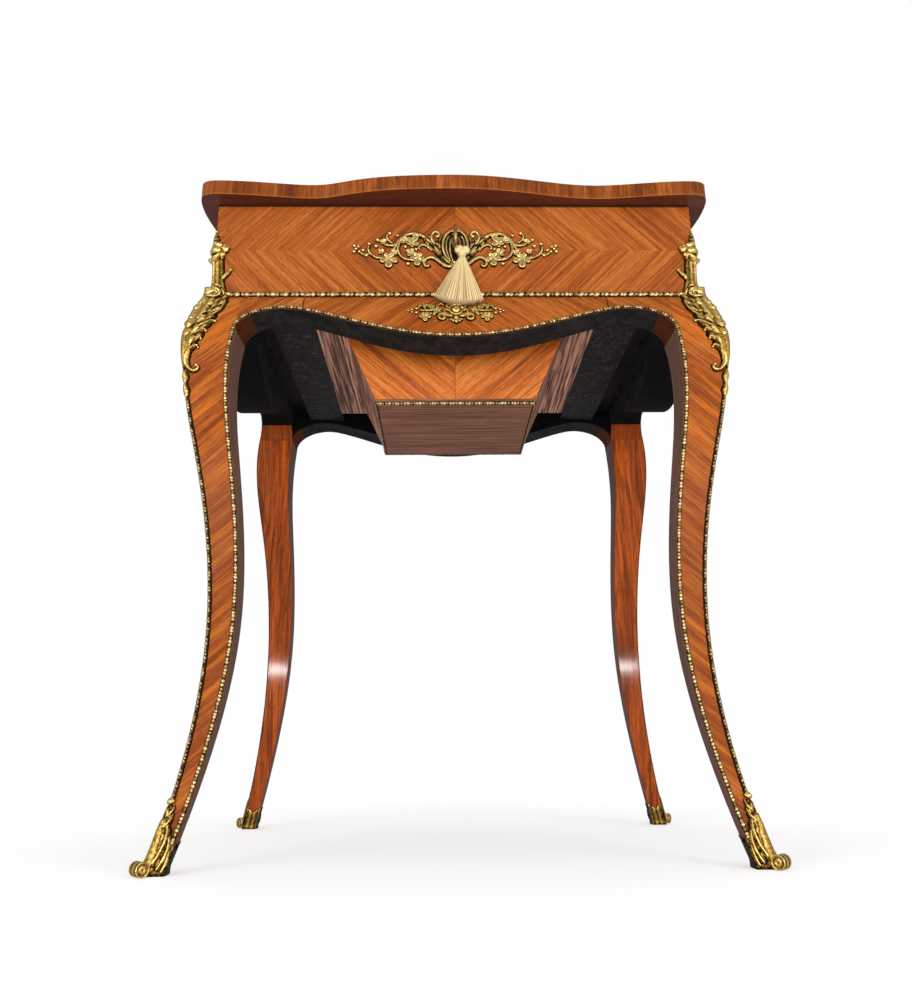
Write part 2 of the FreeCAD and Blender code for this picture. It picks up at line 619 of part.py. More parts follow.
def wedge(name, z, low_x, low_y, high_x, high_y):
    """Solid between a rectangle at one height and a rectangle at another."""
    solid = doc.addObject("Part::Wedge", name)
    solid.Placement = FreeCAD.Placement(V(), FreeCAD.Rotation(V(1, 0, 0), 90))
    bounds = {"Ymin": z[0], "Ymax": z[1], "Xmin": low_x[0], "Xmax": low_x[1], "X2min": high_x[0],
              "X2max": high_x[1], "Zmin": f"-({low_y[1]})", "Zmax": f"-({low_y[0]})",
              "Z2min": f"-({high_y[1]})", "Z2max": f"-({high_y[0]})"}
    for bound, expression in bounds.items():
        solid.setExpression(bound, expression)
    return solid


def at_share(bottom, top, share):
    """Expression part of the way from a size at the well's bottom to the same size at its mouth."""
    return f"({bottom} + ({top} - {bottom}) * ({share}))"


# Well: bottom board, four sloping panels and the moulding round its lower edge
floor_share = "Sizes.well_floor / Sizes.well_depth"
trim_share = "Sizes.trim_width / Sizes.well_depth"
WELL = {"x": ("Sizes.well_bottom_width / 2", "Sizes.well_top_width / 2"),
        "front": (well_bottom_front, well_top_front),
        "back": (well_bottom_back, well_top_back)}


def well_rect(share, grown="0"):
    """Plan of the well at a share of its height, grown all round: x range and y range."""
    x = at_share(*WELL["x"], share)
    front = at_share(*WELL["front"], share)
    back = at_share(*WELL["back"], share)
    return (f"-({x}) - ({grown})", f"{x} + ({grown})"), (f"-({front}) - ({grown})", f"{back} + ({grown})")


floor_z = f"({well_low} + Sizes.well_floor)"
panel_z = (floor_z, runner_low)
thick = "Sizes.well_wall"
bottom_x, bottom_y = well_rect("0")
floor_x, floor_y = well_rect(floor_share)
mouth_x, mouth_y = well_rect("1")
piece(wedge("well_bottom", (well_low, floor_z), bottom_x, bottom_y, floor_x, floor_y), "well_bottom")
piece(wedge("well_front_panel", panel_z, floor_x, (floor_y[0], f"{floor_y[0]} + {thick}"),
            mouth_x, (mouth_y[0], f"{mouth_y[0]} + {thick}")), "well_front_panel")
piece(wedge("well_back_panel", panel_z, floor_x, (f"{floor_y[1]} - {thick}", floor_y[1]),
            mouth_x, (f"{mouth_y[1]} - {thick}", mouth_y[1])), "well_back_panel")
between_low = (f"{floor_y[0]} + {thick}", f"{floor_y[1]} - {thick}")
between_high = (f"{mouth_y[0]} + {thick}", f"{mouth_y[1]} - {thick}")
piece(wedge("well_left_panel", panel_z, (floor_x[0], f"{floor_x[0]} + {thick}"), between_low,
            (mouth_x[0], f"{mouth_x[0]} + {thick}"), between_high), "well_left_panel")
piece(wedge("well_right_panel", panel_z, (f"{floor_x[1]} - {thick}", floor_x[1]), between_low,
            (f"{mouth_x[1]} - {thick}", mouth_x[1]), between_high), "well_right_panel")
trim_z = (well_low, f"{well_low} + Sizes.trim_width")
grown_low = well_rect("0", "Sizes.trim_proud")
grown_high = well_rect(trim_share, "Sizes.trim_proud")
trim_core = wedge("well_trim_core", trim_z, *well_rect("0"), *well_rect(trim_share))
trim_block = wedge("well_trim_block", trim_z, *grown_low, *grown_high)
piece(cut("well_bottom_moulding", trim_block, trim_core), "well_bottom_moulding")

# Lock: keyhole through escutcheon, frieze and lock plate; case with a drill pin; bolt
hole_front = f"-({half_y} + Sizes.plate_proud)"
hole_back = f"({lock_front} + Sizes.lock_plate)"
keyhole = fuse("keyhole",
               rod("keyhole_round", "Sizes.keyhole_radius", V(0, 1, 0), f"{hole_back} - {hole_front}",
                   "0", hole_front, key_z),
               box("keyhole_slot", ("-Sizes.keyhole_slot / 2", "Sizes.keyhole_slot / 2"),
                   (hole_front, hole_back), (f"{key_z} - Sizes.keyhole_drop", key_z)))
lock_x = ("-Sizes.lock_width / 2", "Sizes.lock_width / 2")
lock_y = (lock_front, f"-{inner_y}")
lock_z = (lock_low, frieze_top)
room_x = ("Sizes.lock_plate - Sizes.lock_width / 2", "Sizes.lock_width / 2 - Sizes.lock_plate")
room_y = (hole_back, f"-{inner_y} - Sizes.lock_plate")
room_z = (f"{lock_low} + Sizes.lock_plate", f"{frieze_top} - Sizes.lock_plate")
lock_block = box("lock_block", lock_x, lock_y, lock_z)
lock_room = box("lock_room", room_x, room_y, room_z)
body_left = f"({room_x[0]} + Sizes.bolt_wall)"
body_right = f"({body_left} + Sizes.bolt_length)"
nose_end = f"({body_right} + Sizes.bolt_throw + Sizes.staple_wall)"
staple_left = f"({nose_end} + Sizes.staple_wall)"
staple_right = f"({staple_left} + Sizes.staple_thickness)"
slot_x = (f"{staple_left} - Sizes.staple_wall", f"{staple_right} + Sizes.staple_wall")
staple_slot = box("staple_slot", slot_x, room_y, (room_z[1], frieze_top))
pin_end = f"(-{half_y} - Sizes.plate_proud)"
drill_pin = rod("drill_pin", "Sizes.pin_radius", V(0, 1, 0), f"{room_y[1]} - {pin_end}", "0", pin_end,
                key_z)
lock_shell = cut("lock_shell", lock_block, lock_room, staple_slot, keyhole)
piece(fuse("lock_case", lock_shell, drill_pin), "lock_case")
bolt_z = (f"{bolt_axis} - Sizes.bolt_height / 2", f"{bolt_axis} + Sizes.bolt_height / 2")
bolt_y = (f"{room_y[0]} + Sizes.bolt_play", f"{room_y[1]} - Sizes.bolt_play")
nose_y = (f"{lock_middle} - Sizes.bolt_nose / 2", f"{lock_middle} + Sizes.bolt_nose / 2")
piece(fuse("lock_bolt",
           box("bolt_body", (body_left, body_right), bolt_y, bolt_z),
           box("bolt_nose", (body_right, nose_end), nose_y, bolt_z),
           box("bolt_tail", (body_left, f"{body_left} + Sizes.bolt_tail_width"), bolt_y,
               (f"{key_z} + Sizes.bolt_tail_rise", bolt_z[0]))), "lock_bolt")

# Key: pipe shank, bit and oval bow
shank_back = f"({room_y[1]} - Sizes.play)"
shank_front = f"(-{half_y} - Sizes.key_stand)"
shank = rod("key_shank", "Sizes.key_radius", V(0, 1, 0), f"{shank_back} - {shank_front}", "0",
            shank_front, key_z)
bit = box("key_bit", ("-Sizes.bit_thickness / 2", "Sizes.bit_thickness / 2"),
          (f"{room_y[0]} + Sizes.play", shank_back),
          (f"{key_z} - Sizes.key_radius - Sizes.bit_length", key_z))
bow_middle = V(0, mm(f"{shank_front} - Sizes.bow_length"), mm(key_z))
bow_top = bow_middle + V(0, 0, mm("Sizes.bow_height"))
bow_front = bow_middle - V(0, mm("Sizes.bow_length"), 0)
bow_oval = Part.Ellipse(bow_top, bow_front, bow_middle)
bow_start = bow_oval.parameter(bow_front)
bow_half = bow_start + math.pi
bow_end = bow_half + math.pi
bow_ring = Part.Wire([bow_oval.toShape(bow_start, bow_half), bow_oval.toShape(bow_half, bow_end)])
bow_section = Part.Wire([Part.Circle(bow_front, V(0, 0, 1), mm("Sizes.bow_wire")).toShape()])
bow = doc.addObject("Part::Feature", "key_bow")
bow.Shape = bow_ring.makePipeShell([bow_section], True, True)
pipe = rod("key_pipe", "Sizes.key_bore", V(0, 1, 0), f"{shank_back} - {pin_end} + Sizes.play", "0",
           f"{pin_end} - Sizes.play", key_z)
piece(cut("key", fuse("key_whole", shank, bit, bow), pipe), "key")


def mirrored_ring(points):
    """Face inside a closed smooth curve, given by its half to the right of the middle plane."""
    mirrored = [V(-point.x, point.y, point.z) for point in points[::-1]]
    halves = []
    for run, start in ((points, V(1, 0, 0)), (mirrored, V(-1, 0, 0))):
        curve = Part.BSplineCurve()
        curve.interpolate(Points=run, InitialTangent=start, FinalTangent=start.negative())
        halves.append(curve.toShape())
    return Part.Face(Part.Wire(halves))


# Escutcheon round the keyhole, as one plate with the outline of its scrolls: shares of its
# half width, and of its rise above the key axis or its fall below it
PLATE_ABOVE = ((0, 1), (0.5, 0.8), (0.8, 0.4), (1, 0))
PLATE_BELOW = ((0.8, 0.3), (0.6, 0.7), (0.25, 0.6), (0, 1))
wing = mm("Sizes.plate_width / 2")
plate_points = [(wing * x, mm(f"{key_z} + {share} * Sizes.plate_rise")) for x, share in PLATE_ABOVE]
plate_points += [(wing * x, mm(f"{key_z} - {share} * Sizes.plate_fall")) for x, share in PLATE_BELOW]
plate_face = mirrored_ring([V(u, -mm(half_y), z) for u, z in plate_points])
plate = prism("escutcheon_plate", plate_face, V(0, -1, 0), "Sizes.plate_proud")
piece(cut("keyhole_escutcheon", plate, keyhole), "keyhole_escutcheon")

# Apron mount on the middle of the sliding front
badge_z = low - mm("Sizes.badge_drop")
badge_x = mm("Sizes.badge_width / 2")
badge_h = mm("Sizes.badge_height / 2")
badge_ring = Part.Ellipse(V(badge_x, 0, badge_z), V(0, 0, badge_z + badge_h), V(0, 0, badge_z))
badge_face = Part.Face(Part.Wire([badge_ring.toShape()]))
badge = common("apron_mount", prism("badge_outline", badge_face, V(0, -1, 0), reach_y),
               prism("badge_section", layer(side_view(-1), 0, mm("Sizes.badge_proud")), V(1, 0, 0),
                     f"2 * {reach_x}", True))
piece(badge, "apron_mount")

# Lid outline, one quarter from the middle of the front to the middle of the right side
hx = mm(half_x)
hy = mm(half_y)
corner_out = mm("Sizes.lid_corner_overhang")
corner_round = mm("Sizes.lid_corner_round")
round_share = 1 - math.sqrt(1 / 2)
corner_x = hx + corner_out
corner_y = hy + corner_out
QUARTER = (
    (0, hy + mm("Sizes.lid_centre_overhang")),
    (mm("Sizes.lid_hollow_place"), hy + mm("Sizes.lid_hollow_overhang")),
    (corner_x - mm("Sizes.lid_corner_front_run"), corner_y),
    (corner_x - corner_round * round_share, corner_y - corner_round * round_share),
    (corner_x, corner_y - mm("Sizes.lid_corner_side_run")),
    (hx + mm("Sizes.lid_side_hollow"), mm("Sizes.lid_side_hollow_place")),
    (hx + mm("Sizes.lid_side_overhang"), 0),
)
right_half = [(x, -y) for x, y in QUARTER] + [(x, y) for x, y in QUARTER[-2::-1]]
lid_face = mirrored_ring([V(x, y, mm(lid_under)) for x, y in right_half])
lid_blank = prism("lid_blank", lid_face, V(0, 0, 1), "Sizes.lid_thickness")

# Strike plate with its staple
strike_plate = box("strike_plate", ("-Sizes.strike_length / 2", "Sizes.strike_length / 2"), lock_y,
                   (lid_under, f"{lid_under} + Sizes.leaf_thickness"))
eye_y = (f"{nose_y[0]} - Sizes.staple_play", f"{nose_y[1]} + Sizes.staple_play")
eye_z = (f"{bolt_z[0]} - Sizes.staple_play", f"{bolt_z[1]} + Sizes.staple_play")
staple_x = (staple_left, staple_right)
rim_y = (f"{eye_y[0]} - Sizes.staple_rim", f"{eye_y[1]} + Sizes.staple_rim")
staple_block = box("staple_block", staple_x, rim_y, (f"{eye_z[0]} - Sizes.staple_rim", lid_under))
staple = cut("staple", staple_block, box("staple_eye", staple_x, eye_y, eye_z))
piece(fuse("lock_strike", strike_plate, staple), "lock_strike")

# Hinges: the middle knuckle belongs to the fixed leaf, the outer two to the moving leaf
fixed_z = (f"{frieze_top} - Sizes.leaf_thickness", frieze_top)
moving_z = (lid_under, f"{lid_under} + Sizes.leaf_thickness")
leaf_y = (f"{half_y} - Sizes.hinge_leaf", half_y)
neck_y = (half_y, hinge_y)
knuckle_half = "Sizes.hinge_knuckle / 2"
outer_knuckle = f"(Sizes.hinge_length / 2 - {knuckle_half} - Sizes.play)"
hinge_pins = []
fixed_screws = []
lid_screws = []
barrel_rooms = []
for side_name, side in SIDES:
    place = f"({side} * Sizes.hinge_place)"
    start = f"({place} - Sizes.hinge_length / 2)"
    finish = f"({place} + Sizes.hinge_length / 2)"
    along = V(1, 0, 0)
    pin = rod(f"{side_name}_hinge_pin", "Sizes.hinge_pin_radius", along, "Sizes.hinge_length", start,
              hinge_y, hinge_z)
    hinge_pins.append(pin)
    bore = rod(f"{side_name}_hinge_bore", "Sizes.hinge_pin_radius + Sizes.pin_clearance", along,
               "Sizes.hinge_length", start, hinge_y, hinge_z)
    room = rod(f"{side_name}_barrel_room", "Sizes.barrel_radius + Sizes.play", along,
               "Sizes.hinge_length + 2 * Sizes.play", f"{start} - Sizes.play", hinge_y, hinge_z)
    barrel_rooms.append(room)
    spots = [(end_name, f"{place} + {end} * Sizes.hinge_length / 3") for end_name, end in ENDS]
    screw_y = f"{half_y} - Sizes.hinge_leaf / 2"
    down = [screw(f"{side_name}_{spot_name}_fixed_screw", spot, screw_y, frieze_top, -1,
                  "Sizes.screw_length") for spot_name, spot in spots]
    up = [screw(f"{side_name}_{spot_name}_lid_screw", spot, screw_y, lid_under, 1,
                "Sizes.screw_length") for spot_name, spot in spots]
    fixed_screws.extend(down)
    lid_screws.extend(up)
    knuckle_x = (f"{place} - {knuckle_half}", f"{place} + {knuckle_half}")
    plate = box(f"{side_name}_fixed_plate", (start, finish), leaf_y, fixed_z)
    neck = box(f"{side_name}_fixed_neck", knuckle_x, neck_y, fixed_z)
    barrel = rod(f"{side_name}_fixed_barrel", "Sizes.barrel_radius", along, "Sizes.hinge_knuckle",
                 knuckle_x[0], hinge_y, hinge_z)
    fixed_whole = fuse(f"{side_name}_fixed_whole", plate, neck, barrel)
    fixed = cut(f"{side_name}_hinge_fixed_leaf", fixed_whole, pin, *down)
    piece(fixed, f"{side_name}_hinge_fixed_leaf")
    plate = box(f"{side_name}_moving_plate", (start, finish), leaf_y, moving_z)
    solids = [plate]
    for end_name, first in (("first", start), ("last", f"({finish} - {outer_knuckle})")):
        neck_x = (first, f"{first} + {outer_knuckle}")
        solids.append(box(f"{side_name}_{end_name}_neck", neck_x, neck_y, moving_z))
        solids.append(rod(f"{side_name}_{end_name}_barrel", "Sizes.barrel_radius", along, outer_knuckle,
                          first, hinge_y, hinge_z))
    moving = cut(f"{side_name}_hinge_moving_leaf", fuse(f"{side_name}_moving_whole", *solids), bore, *up)
    piece(moving, f"{side_name}_hinge_moving_leaf")
piece(group("hinge_pins", *hinge_pins), "hinge_pins")
piece(group("fixed_leaf_screws", *fixed_screws), "fixed_leaf_screws")
piece(group("lid_leaf_screws", *lid_screws), "lid_leaf_screws")
fixed_seats = [box(f"{side_name}_fixed_seat", (f"{side} * Sizes.hinge_place - Sizes.hinge_length / 2",
                                               f"{side} * Sizes.hinge_place + Sizes.hinge_length / 2"),
                   leaf_y, fixed_z) for side_name, side in SIDES]
moving_seats = [box(f"{side_name}_moving_seat", (f"{side} * Sizes.hinge_place - Sizes.hinge_length / 2",
                                                 f"{side} * Sizes.hinge_place + Sizes.hinge_length / 2"),
                    (leaf_y[0], hinge_y), moving_z) for side_name, side in SIDES]
piece(cut("front_frieze", front_blank, lock_block, keyhole), "front_frieze")
piece(cut("back_frieze", back_blank, *fixed_seats, *fixed_screws), "back_frieze")
piece(cut("lid_board", lid_blank, strike_plate, *moving_seats, *barrel_rooms, *lid_screws), "lid_board")

# Tassel: cord loop over the key shank, round head and flaring skirt
key_axis = mm(key_z)
plane = mm(tassel_y)
loop_radius = mm("Sizes.key_radius + Sizes.cord_gap + Sizes.cord_radius")
head_x = mm("Sizes.tassel_offset")
head_z = mm(tassel_z)


def loop_touch(x, z, side):
    """Where the cord from a point below meets the loop round the shank, on its left or right."""
    down = key_axis - z
    distance = math.hypot(x, down)
    turn = math.atan2(-down, x) + side * math.acos(loop_radius / distance)
    return V(loop_radius * math.cos(turn), plane, key_axis + loop_radius * math.sin(turn))


spread = mm("Sizes.cord_spread")
tail_z = head_z - mm("Sizes.cord_tail")
left_end = V(head_x - spread, plane, tail_z)
right_end = V(head_x + spread, plane, tail_z)
left_touch = loop_touch(left_end.x, left_end.z, -1)
right_touch = loop_touch(right_end.x, right_end.z, 1)
crown = V(0, plane, key_axis + loop_radius)
cord_path = Part.Wire([Part.LineSegment(left_end, left_touch).toShape(),
                       Part.Arc(left_touch, crown, right_touch).toShape(),
                       Part.LineSegment(right_touch, right_end).toShape()])
cord_section = Part.Wire([Part.Circle(left_end, left_touch - left_end, mm("Sizes.cord_radius")).toShape()])
cord = doc.addObject("Part::Feature", "tassel_cord_tube")
cord.Shape = cord_path.makePipeShell([cord_section], True, False)
head = doc.addObject("Part::Sphere", "tassel_ball")
head.setExpression("Radius", "Sizes.tassel_head_radius")
head.setExpression("Placement.Base.x", "Sizes.tassel_offset")
head.setExpression("Placement.Base.y", tassel_y)
head.setExpression("Placement.Base.z", tassel_z)
piece(cut("tassel_cord", cord, head), "tassel_cord")
piece(head, "tassel_head")
skirt_top = head_z - mm("Sizes.tassel_head_radius") / 2
skirt_low = skirt_top - mm("Sizes.skirt_length")
neck_circle = Part.Circle(V(head_x, plane, skirt_top), V(0, 0, 1), mm("Sizes.skirt_top_radius"))
neck_ring = Part.Wire([neck_circle.toShape()])
hem_middle = V(head_x / 2, plane, skirt_low)
hem = Part.Ellipse(hem_middle + V(mm("Sizes.skirt_half_width"), 0, 0),
                   hem_middle + V(0, mm("Sizes.skirt_half_depth"), 0), hem_middle)
skirt = doc.addObject("Part::Feature", "tassel_fan")
skirt.Shape = Part.makeLoft([neck_ring, Part.Wire([hem.toShape()])], True, True)
piece(cut("tassel_skirt", skirt, head), "tassel_skirt")

doc.recompute()
for obj in doc.Objects:
    if "Invalid" in obj.State or "Error" in obj.State:
        raise RuntimeError(f"{obj.Label} failed: {obj.State}")
for obj in pieces:
    if obj.Shape.isNull() or not obj.Shape.isValid() or not obj.Shape.Solids:
        raise RuntimeError(f"{obj.Label} has no valid solid")
os.makedirs("parts", exist_ok=True)
for obj in pieces:
    obj.Shape.exportStep(f"parts/{obj.Label}.step")
print(f"{len(pieces)} pieces, tassel cord {cord_path.Length:.1f} mm, loop radius {loop_radius:.1f} mm")
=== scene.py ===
"""Work table with a serpentine lid, a sliding well, cabriole legs and gilt foliate mounts."""
import math

import bpy
import numpy as np
from bpy.props import FloatProperty, FloatVectorProperty, PointerProperty
from mathutils import Matrix, Vector


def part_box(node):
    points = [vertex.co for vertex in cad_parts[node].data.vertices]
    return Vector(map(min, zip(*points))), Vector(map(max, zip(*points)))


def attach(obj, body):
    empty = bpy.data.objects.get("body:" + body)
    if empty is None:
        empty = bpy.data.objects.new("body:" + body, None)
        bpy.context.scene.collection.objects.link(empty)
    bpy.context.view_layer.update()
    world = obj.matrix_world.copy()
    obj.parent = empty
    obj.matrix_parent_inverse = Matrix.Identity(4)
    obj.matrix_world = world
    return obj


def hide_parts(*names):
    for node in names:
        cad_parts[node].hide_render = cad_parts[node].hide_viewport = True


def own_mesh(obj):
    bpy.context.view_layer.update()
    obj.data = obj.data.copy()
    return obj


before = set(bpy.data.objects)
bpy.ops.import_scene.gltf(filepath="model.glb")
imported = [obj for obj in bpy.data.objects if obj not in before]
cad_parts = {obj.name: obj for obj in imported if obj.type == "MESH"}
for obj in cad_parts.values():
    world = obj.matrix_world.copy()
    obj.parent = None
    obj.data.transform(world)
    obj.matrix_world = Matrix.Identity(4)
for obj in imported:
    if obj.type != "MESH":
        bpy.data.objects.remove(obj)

bl_info = {
    "name": "Work Table",
    "version": (1, 0, 0),
    "blender": (4, 5, 0),
    "location": "View3D > Sidebar > Work Table",
    "description": "Dresses the work table: veneer, gilt mounts and mouldings, tassel, camera and stage",
    "category": "Object",
}

MM = 0.001
CORNERS = (("front_left", -1, -1), ("front_right", 1, -1), ("back_left", -1, 1), ("back_right", 1, 1))


def colour(name, description, default):
    """Colour property with the limits and subtype that all colours share."""
    return FloatVectorProperty(name=name, description=description, default=default, size=3, min=0.0, max=1.0,
                               subtype="COLOR")


def length(name, description, default):
    """Length property in metres."""
    return FloatProperty(name=name, description=description, default=default, min=0.0, unit="LENGTH")


class WorkTableWood(bpy.types.PropertyGroup):
    """Colours and lay of the veneers and of the plain wood."""

    light: colour("Light figure", "Palest stripes of the veneer", (0.68, 0.22, 0.042))
    middle: colour("Ground", "Ground colour of the veneer", (0.44, 0.103, 0.013))
    dark: colour("Dark figure", "Darkest stripes of the veneer", (0.115, 0.02, 0.003))
    gold: colour("Gold bands", "Palest bands of the leg veneers", (0.84, 0.22, 0.012))
    inner: colour("Inner faces", "Straight-grained faces inside the legs", (0.42, 0.08, 0.012))
    shade: colour("Underside of the lid", "Stained wood under the lid", (0.12, 0.03, 0.014))
    polish: FloatProperty(name="Polish", description="Roughness of the French polish", default=0.3, min=0.0,
                          max=1.0)
    slope: FloatProperty(name="Grain slope", description="Slope of the case veneers against the horizontal",
                         default=math.radians(46), subtype="ANGLE")
    leg_slope: FloatProperty(name="Leg grain slope", description="Slope of the leg and apron veneers",
                             default=math.radians(40), subtype="ANGLE")
    paint: colour("Black paint", "Paint on the underside of the case", (0.0045, 0.004, 0.004))
    # Painted shade: the sides of the legs that look in, between them, take this dark grey
    side_shade: colour("Dull sides", "Unpolished sides between the legs", (0.105, 0.086, 0.074))
    plain: colour("Plain wood", "Bottom of the well", (0.345, 0.143, 0.084))
    runner: colour("Runner wood", "Runners and cross rails", (0.6, 0.3, 0.205))


class WorkTableGilt(bpy.types.PropertyGroup):
    """Colours and sizes of the gilt mounts and mouldings."""

    # Burnished gilt also stands for painted highlights on the crests, and the recess colour for painted shade
    # as well as dirt in the low places
    crest: colour("Burnished gilt", "Rubbed high places", (0.98, 0.72, 0.25))
    ground: colour("Gilt", "Gilding between high and low places", (0.47, 0.27, 0.05))
    recess: colour("Recess", "Dirt in the low places", (0.022, 0.013, 0.004))
    straw: colour("Pale gilt", "Tint of the worn gilding on the mouldings", (0.98, 0.82, 0.56))
    bead_pitch: length("Bead pitch", "Length of one leaf of the edge mouldings", 0.0036)
    link_pitch: length("Link pitch", "Length of one link of the frieze moulding", 0.0056)


class WorkTableTassel(bpy.types.PropertyGroup):
    """Colours and sizes of the key's tassel."""

    silk: colour("Silk", "Lit threads", (0.97, 0.74, 0.36))
    shade: colour("Silk in shade", "Threads lying deeper", (0.2, 0.1, 0.022))
    drop: length("Skirt length", "Skirt from its binding to its hem", 0.0586)


class WorkTableStage(bpy.types.PropertyGroup):
    """Floor, light and camera."""

    floor: colour("Floor", "Pale floor", (0.86, 0.86, 0.86))
    key_power: FloatProperty(name="Lights", description="Strength of the lights about the table",
                             default=12.0, min=0.0, unit="POWER")
    fill: FloatProperty(name="Fill", description="Strength of the light from all round", default=0.42,
                        min=0.0)
    lens: FloatProperty(name="Lens", description="Focal length of the camera in millimetres", default=30.31,
                        min=1.0)


# Sizes of the case from the frame; those of the legs, arches, key and trim as in the part
case_low, case_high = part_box("front_frieze")
HALF_X = case_high[0]
HALF_Y = -case_low[1]
FRIEZE_LOW = case_low[2]
FRIEZE_TOP = case_high[2]
LEG_BLOCK = 0.033
ARCH_REACH = 0.0505
ARCH_SPRING = FRIEZE_LOW - 0.046
ARCH_CROWN = FRIEZE_LOW - 0.0176
APRON_MIDDLE = FRIEZE_LOW - 0.056
WAVE_POWER = 0.77
SEAM_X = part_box("well_front_apron")[1][0]
KEY_Z = 0.657
BADGE_Z = FRIEZE_LOW - 0.022
TRIM = 0.005
LEAF_SKEW = 0.7
SABOT_TOP = 0.064
CORNER_MOUNT_DROP = 0.098
LINK_STOP = 0.016
TASSEL_Y = -0.203
CORD_RADIUS = 0.9 * MM

# Camera fitted to the photograph: yaw, pitch and roll in radians
CAMERA_PLACE = (-0.0191, -1.0398, 0.1217)
CAMERA_TURN = (0.0172, 0.2915, -0.009)
CAMERA_SHIFT = (0.00258, -0.01941)

# Name, place, size and share of the light's strength; the small lamps make the spots on the back legs
LIGHTS = (
    ("left_window", (-1.4, -1.7, 1.0), 1.0, 0.85),
    ("right_window", (1.4, -1.6, 0.9), 1.0, 0.7),
    ("low_window", (0.1, -1.9, 0.2), 0.9, 0.75),
    ("left_lamp", (-0.6, -1.7, 0.05), 0.08, 0.22),
    ("right_lamp", (0.63, -1.7, 0.05), 0.08, 0.22),
    ("ceiling", (0.0, 0.2, 2.6), 1.8, 1.0),
)


def points_of(node):
    """Vertices and vertex normals of a frame node."""
    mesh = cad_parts[node].data
    points = np.empty(len(mesh.vertices) * 3)
    normals = np.empty(len(mesh.vertices) * 3)
    mesh.vertices.foreach_get("co", points)
    mesh.vertex_normals.foreach_get("vector", normals)
    return points.reshape(-1, 3), normals.reshape(-1, 3)


def leg_curve(outer):
    """Heights and distances beyond the case side along one arris of the right front leg.

    On an arris the distance beyond the case is the same in front and side view; the outer one has
    normals that look out of the case, the inner one normals that look in.
    """
    points, normals = points_of("front_right_leg")
    beyond_x = points[:, 0] - HALF_X
    beyond_y = -points[:, 1] - HALF_Y
    looks_out = np.maximum(normals[:, 0], -normals[:, 1]) > np.maximum(-normals[:, 0], normals[:, 1])
    keep = (np.abs(beyond_x - beyond_y) < 3e-5) & (looks_out == outer) & (points[:, 2] < FRIEZE_LOW - MM)
    heights, first = np.unique(np.round(points[keep, 2], 5), return_index=True)
    top = 0.0 if outer else -LEG_BLOCK
    return np.append(heights, FRIEZE_LOW), np.append(beyond_x[keep][first], top)


def eased(at, knots, values):
    """Smooth curve through knots: cubic Hermite pieces with slopes from neighbouring knots."""
    slopes = np.gradient(values, knots)
    at = np.clip(at, knots[0], knots[-1])
    index = np.clip(np.searchsorted(knots, at) - 1, 0, len(knots) - 2)
    step = knots[index + 1] - knots[index]
    t = (at - knots[index]) / step
    return ((1 + 2 * t) * (1 - t) ** 2 * values[index] + t * (1 - t) ** 2 * step * slopes[index]
            + t * t * (3 - 2 * t) * values[index + 1] + t * t * (t - 1) * step * slopes[index + 1])


OUTER_KNOTS = leg_curve(True)
INNER_KNOTS = leg_curve(False)


def outer_at(z):
    """Distance of the leg's and the apron's outer face beyond the case at a height."""
    return np.where(z >= FRIEZE_LOW, 0.0, eased(z, *OUTER_KNOTS))


def inner_at(z):
    """Distance of the leg's inner face beyond the case (negative) at a height."""
    return eased(z, *INNER_KNOTS)


def circle(count):
    """Angles at even steps round a circle."""
    return np.linspace(0.0, 2 * math.pi, count, endpoint=False)


def distances(path):
    """Distance run along a path at each of its points."""
    return np.concatenate([[0.0], np.cumsum(np.linalg.norm(np.diff(path, axis=0), axis=1))])


def unit(vectors):
    """Vectors scaled to length one along the last axis."""
    return vectors / np.maximum(np.linalg.norm(vectors, axis=-1, keepdims=True), 1e-12)


class Casting:
    """Collects closed pieces made of rings of points and turns them into one mesh."""

    def __init__(self):
        self.points = []
        self.quads = []
        self.caps = []
        self.crests = []
        self.count = 0

    def rings(self, points, crest):
        """Skin over rings of points, rows of a grid with closed columns, with a cap on either end."""
        rows, columns = points.shape[:2]
        index = np.arange(rows * columns).reshape(rows, columns)
        wrapped = np.hstack([index, index[:, :1]])
        quads = np.stack([wrapped[:-1, :-1], wrapped[:-1, 1:], wrapped[1:, 1:], wrapped[1:, :-1]], axis=-1)
        quads = quads.reshape(-1, 4)
        flat = points.reshape(-1, 3)
        middle = flat - flat.mean(axis=0)
        a, b, c, d = (middle[quads[:, corner]] for corner in range(4))
        volume = np.sum(a * np.cross(b, c)) + np.sum(a * np.cross(c, d))
        caps = np.stack([index[0][::-1], index[-1]])
        if volume < 0:
            quads = quads[:, ::-1]
            caps = caps[:, ::-1]
        self.points.append(flat)
        self.quads.append(quads + self.count)
        self.caps.append(caps + self.count)
        self.crests.append(np.broadcast_to(crest, (rows, columns)).reshape(-1))
        self.count += len(flat)

    def object(self, name, material):
        """Object with one mesh over everything collected, with the crest values as an attribute: the high and
        low places of the relief with painted light and shade.
        """
        corners = np.concatenate([quads.reshape(-1) for quads in self.quads]
                                 + [caps.reshape(-1) for caps in self.caps])
        totals = np.concatenate([np.full(sum(len(quads) for quads in self.quads), 4)]
                                + [np.full(len(caps), caps.shape[1]) for caps in self.caps])
        mesh = bpy.data.meshes.new(name)
        points = np.concatenate(self.points)
        mesh.vertices.add(len(points))
        mesh.vertices.foreach_set("co", points.reshape(-1))
        mesh.loops.add(len(corners))
        mesh.loops.foreach_set("vertex_index", corners.astype(np.int32))
        mesh.polygons.add(len(totals))
        starts = np.concatenate([[0], np.cumsum(totals)[:-1]])
        mesh.polygons.foreach_set("loop_start", starts.astype(np.int32))
        mesh.polygons.foreach_set("use_smooth", np.ones(len(totals), dtype=bool))
        crest = mesh.attributes.new("crest", "FLOAT", "POINT")
        crest.data.foreach_set("value", np.concatenate(self.crests).astype(np.float32))
        mesh.update(calc_edges=True)
        if mesh.validate():
            raise RuntimeError(f"{name} has a bad mesh")
        obj = bpy.data.objects.new(name, mesh)
        bpy.context.scene.collection.objects.link(obj)
        obj.data.materials.append(material)
        return obj


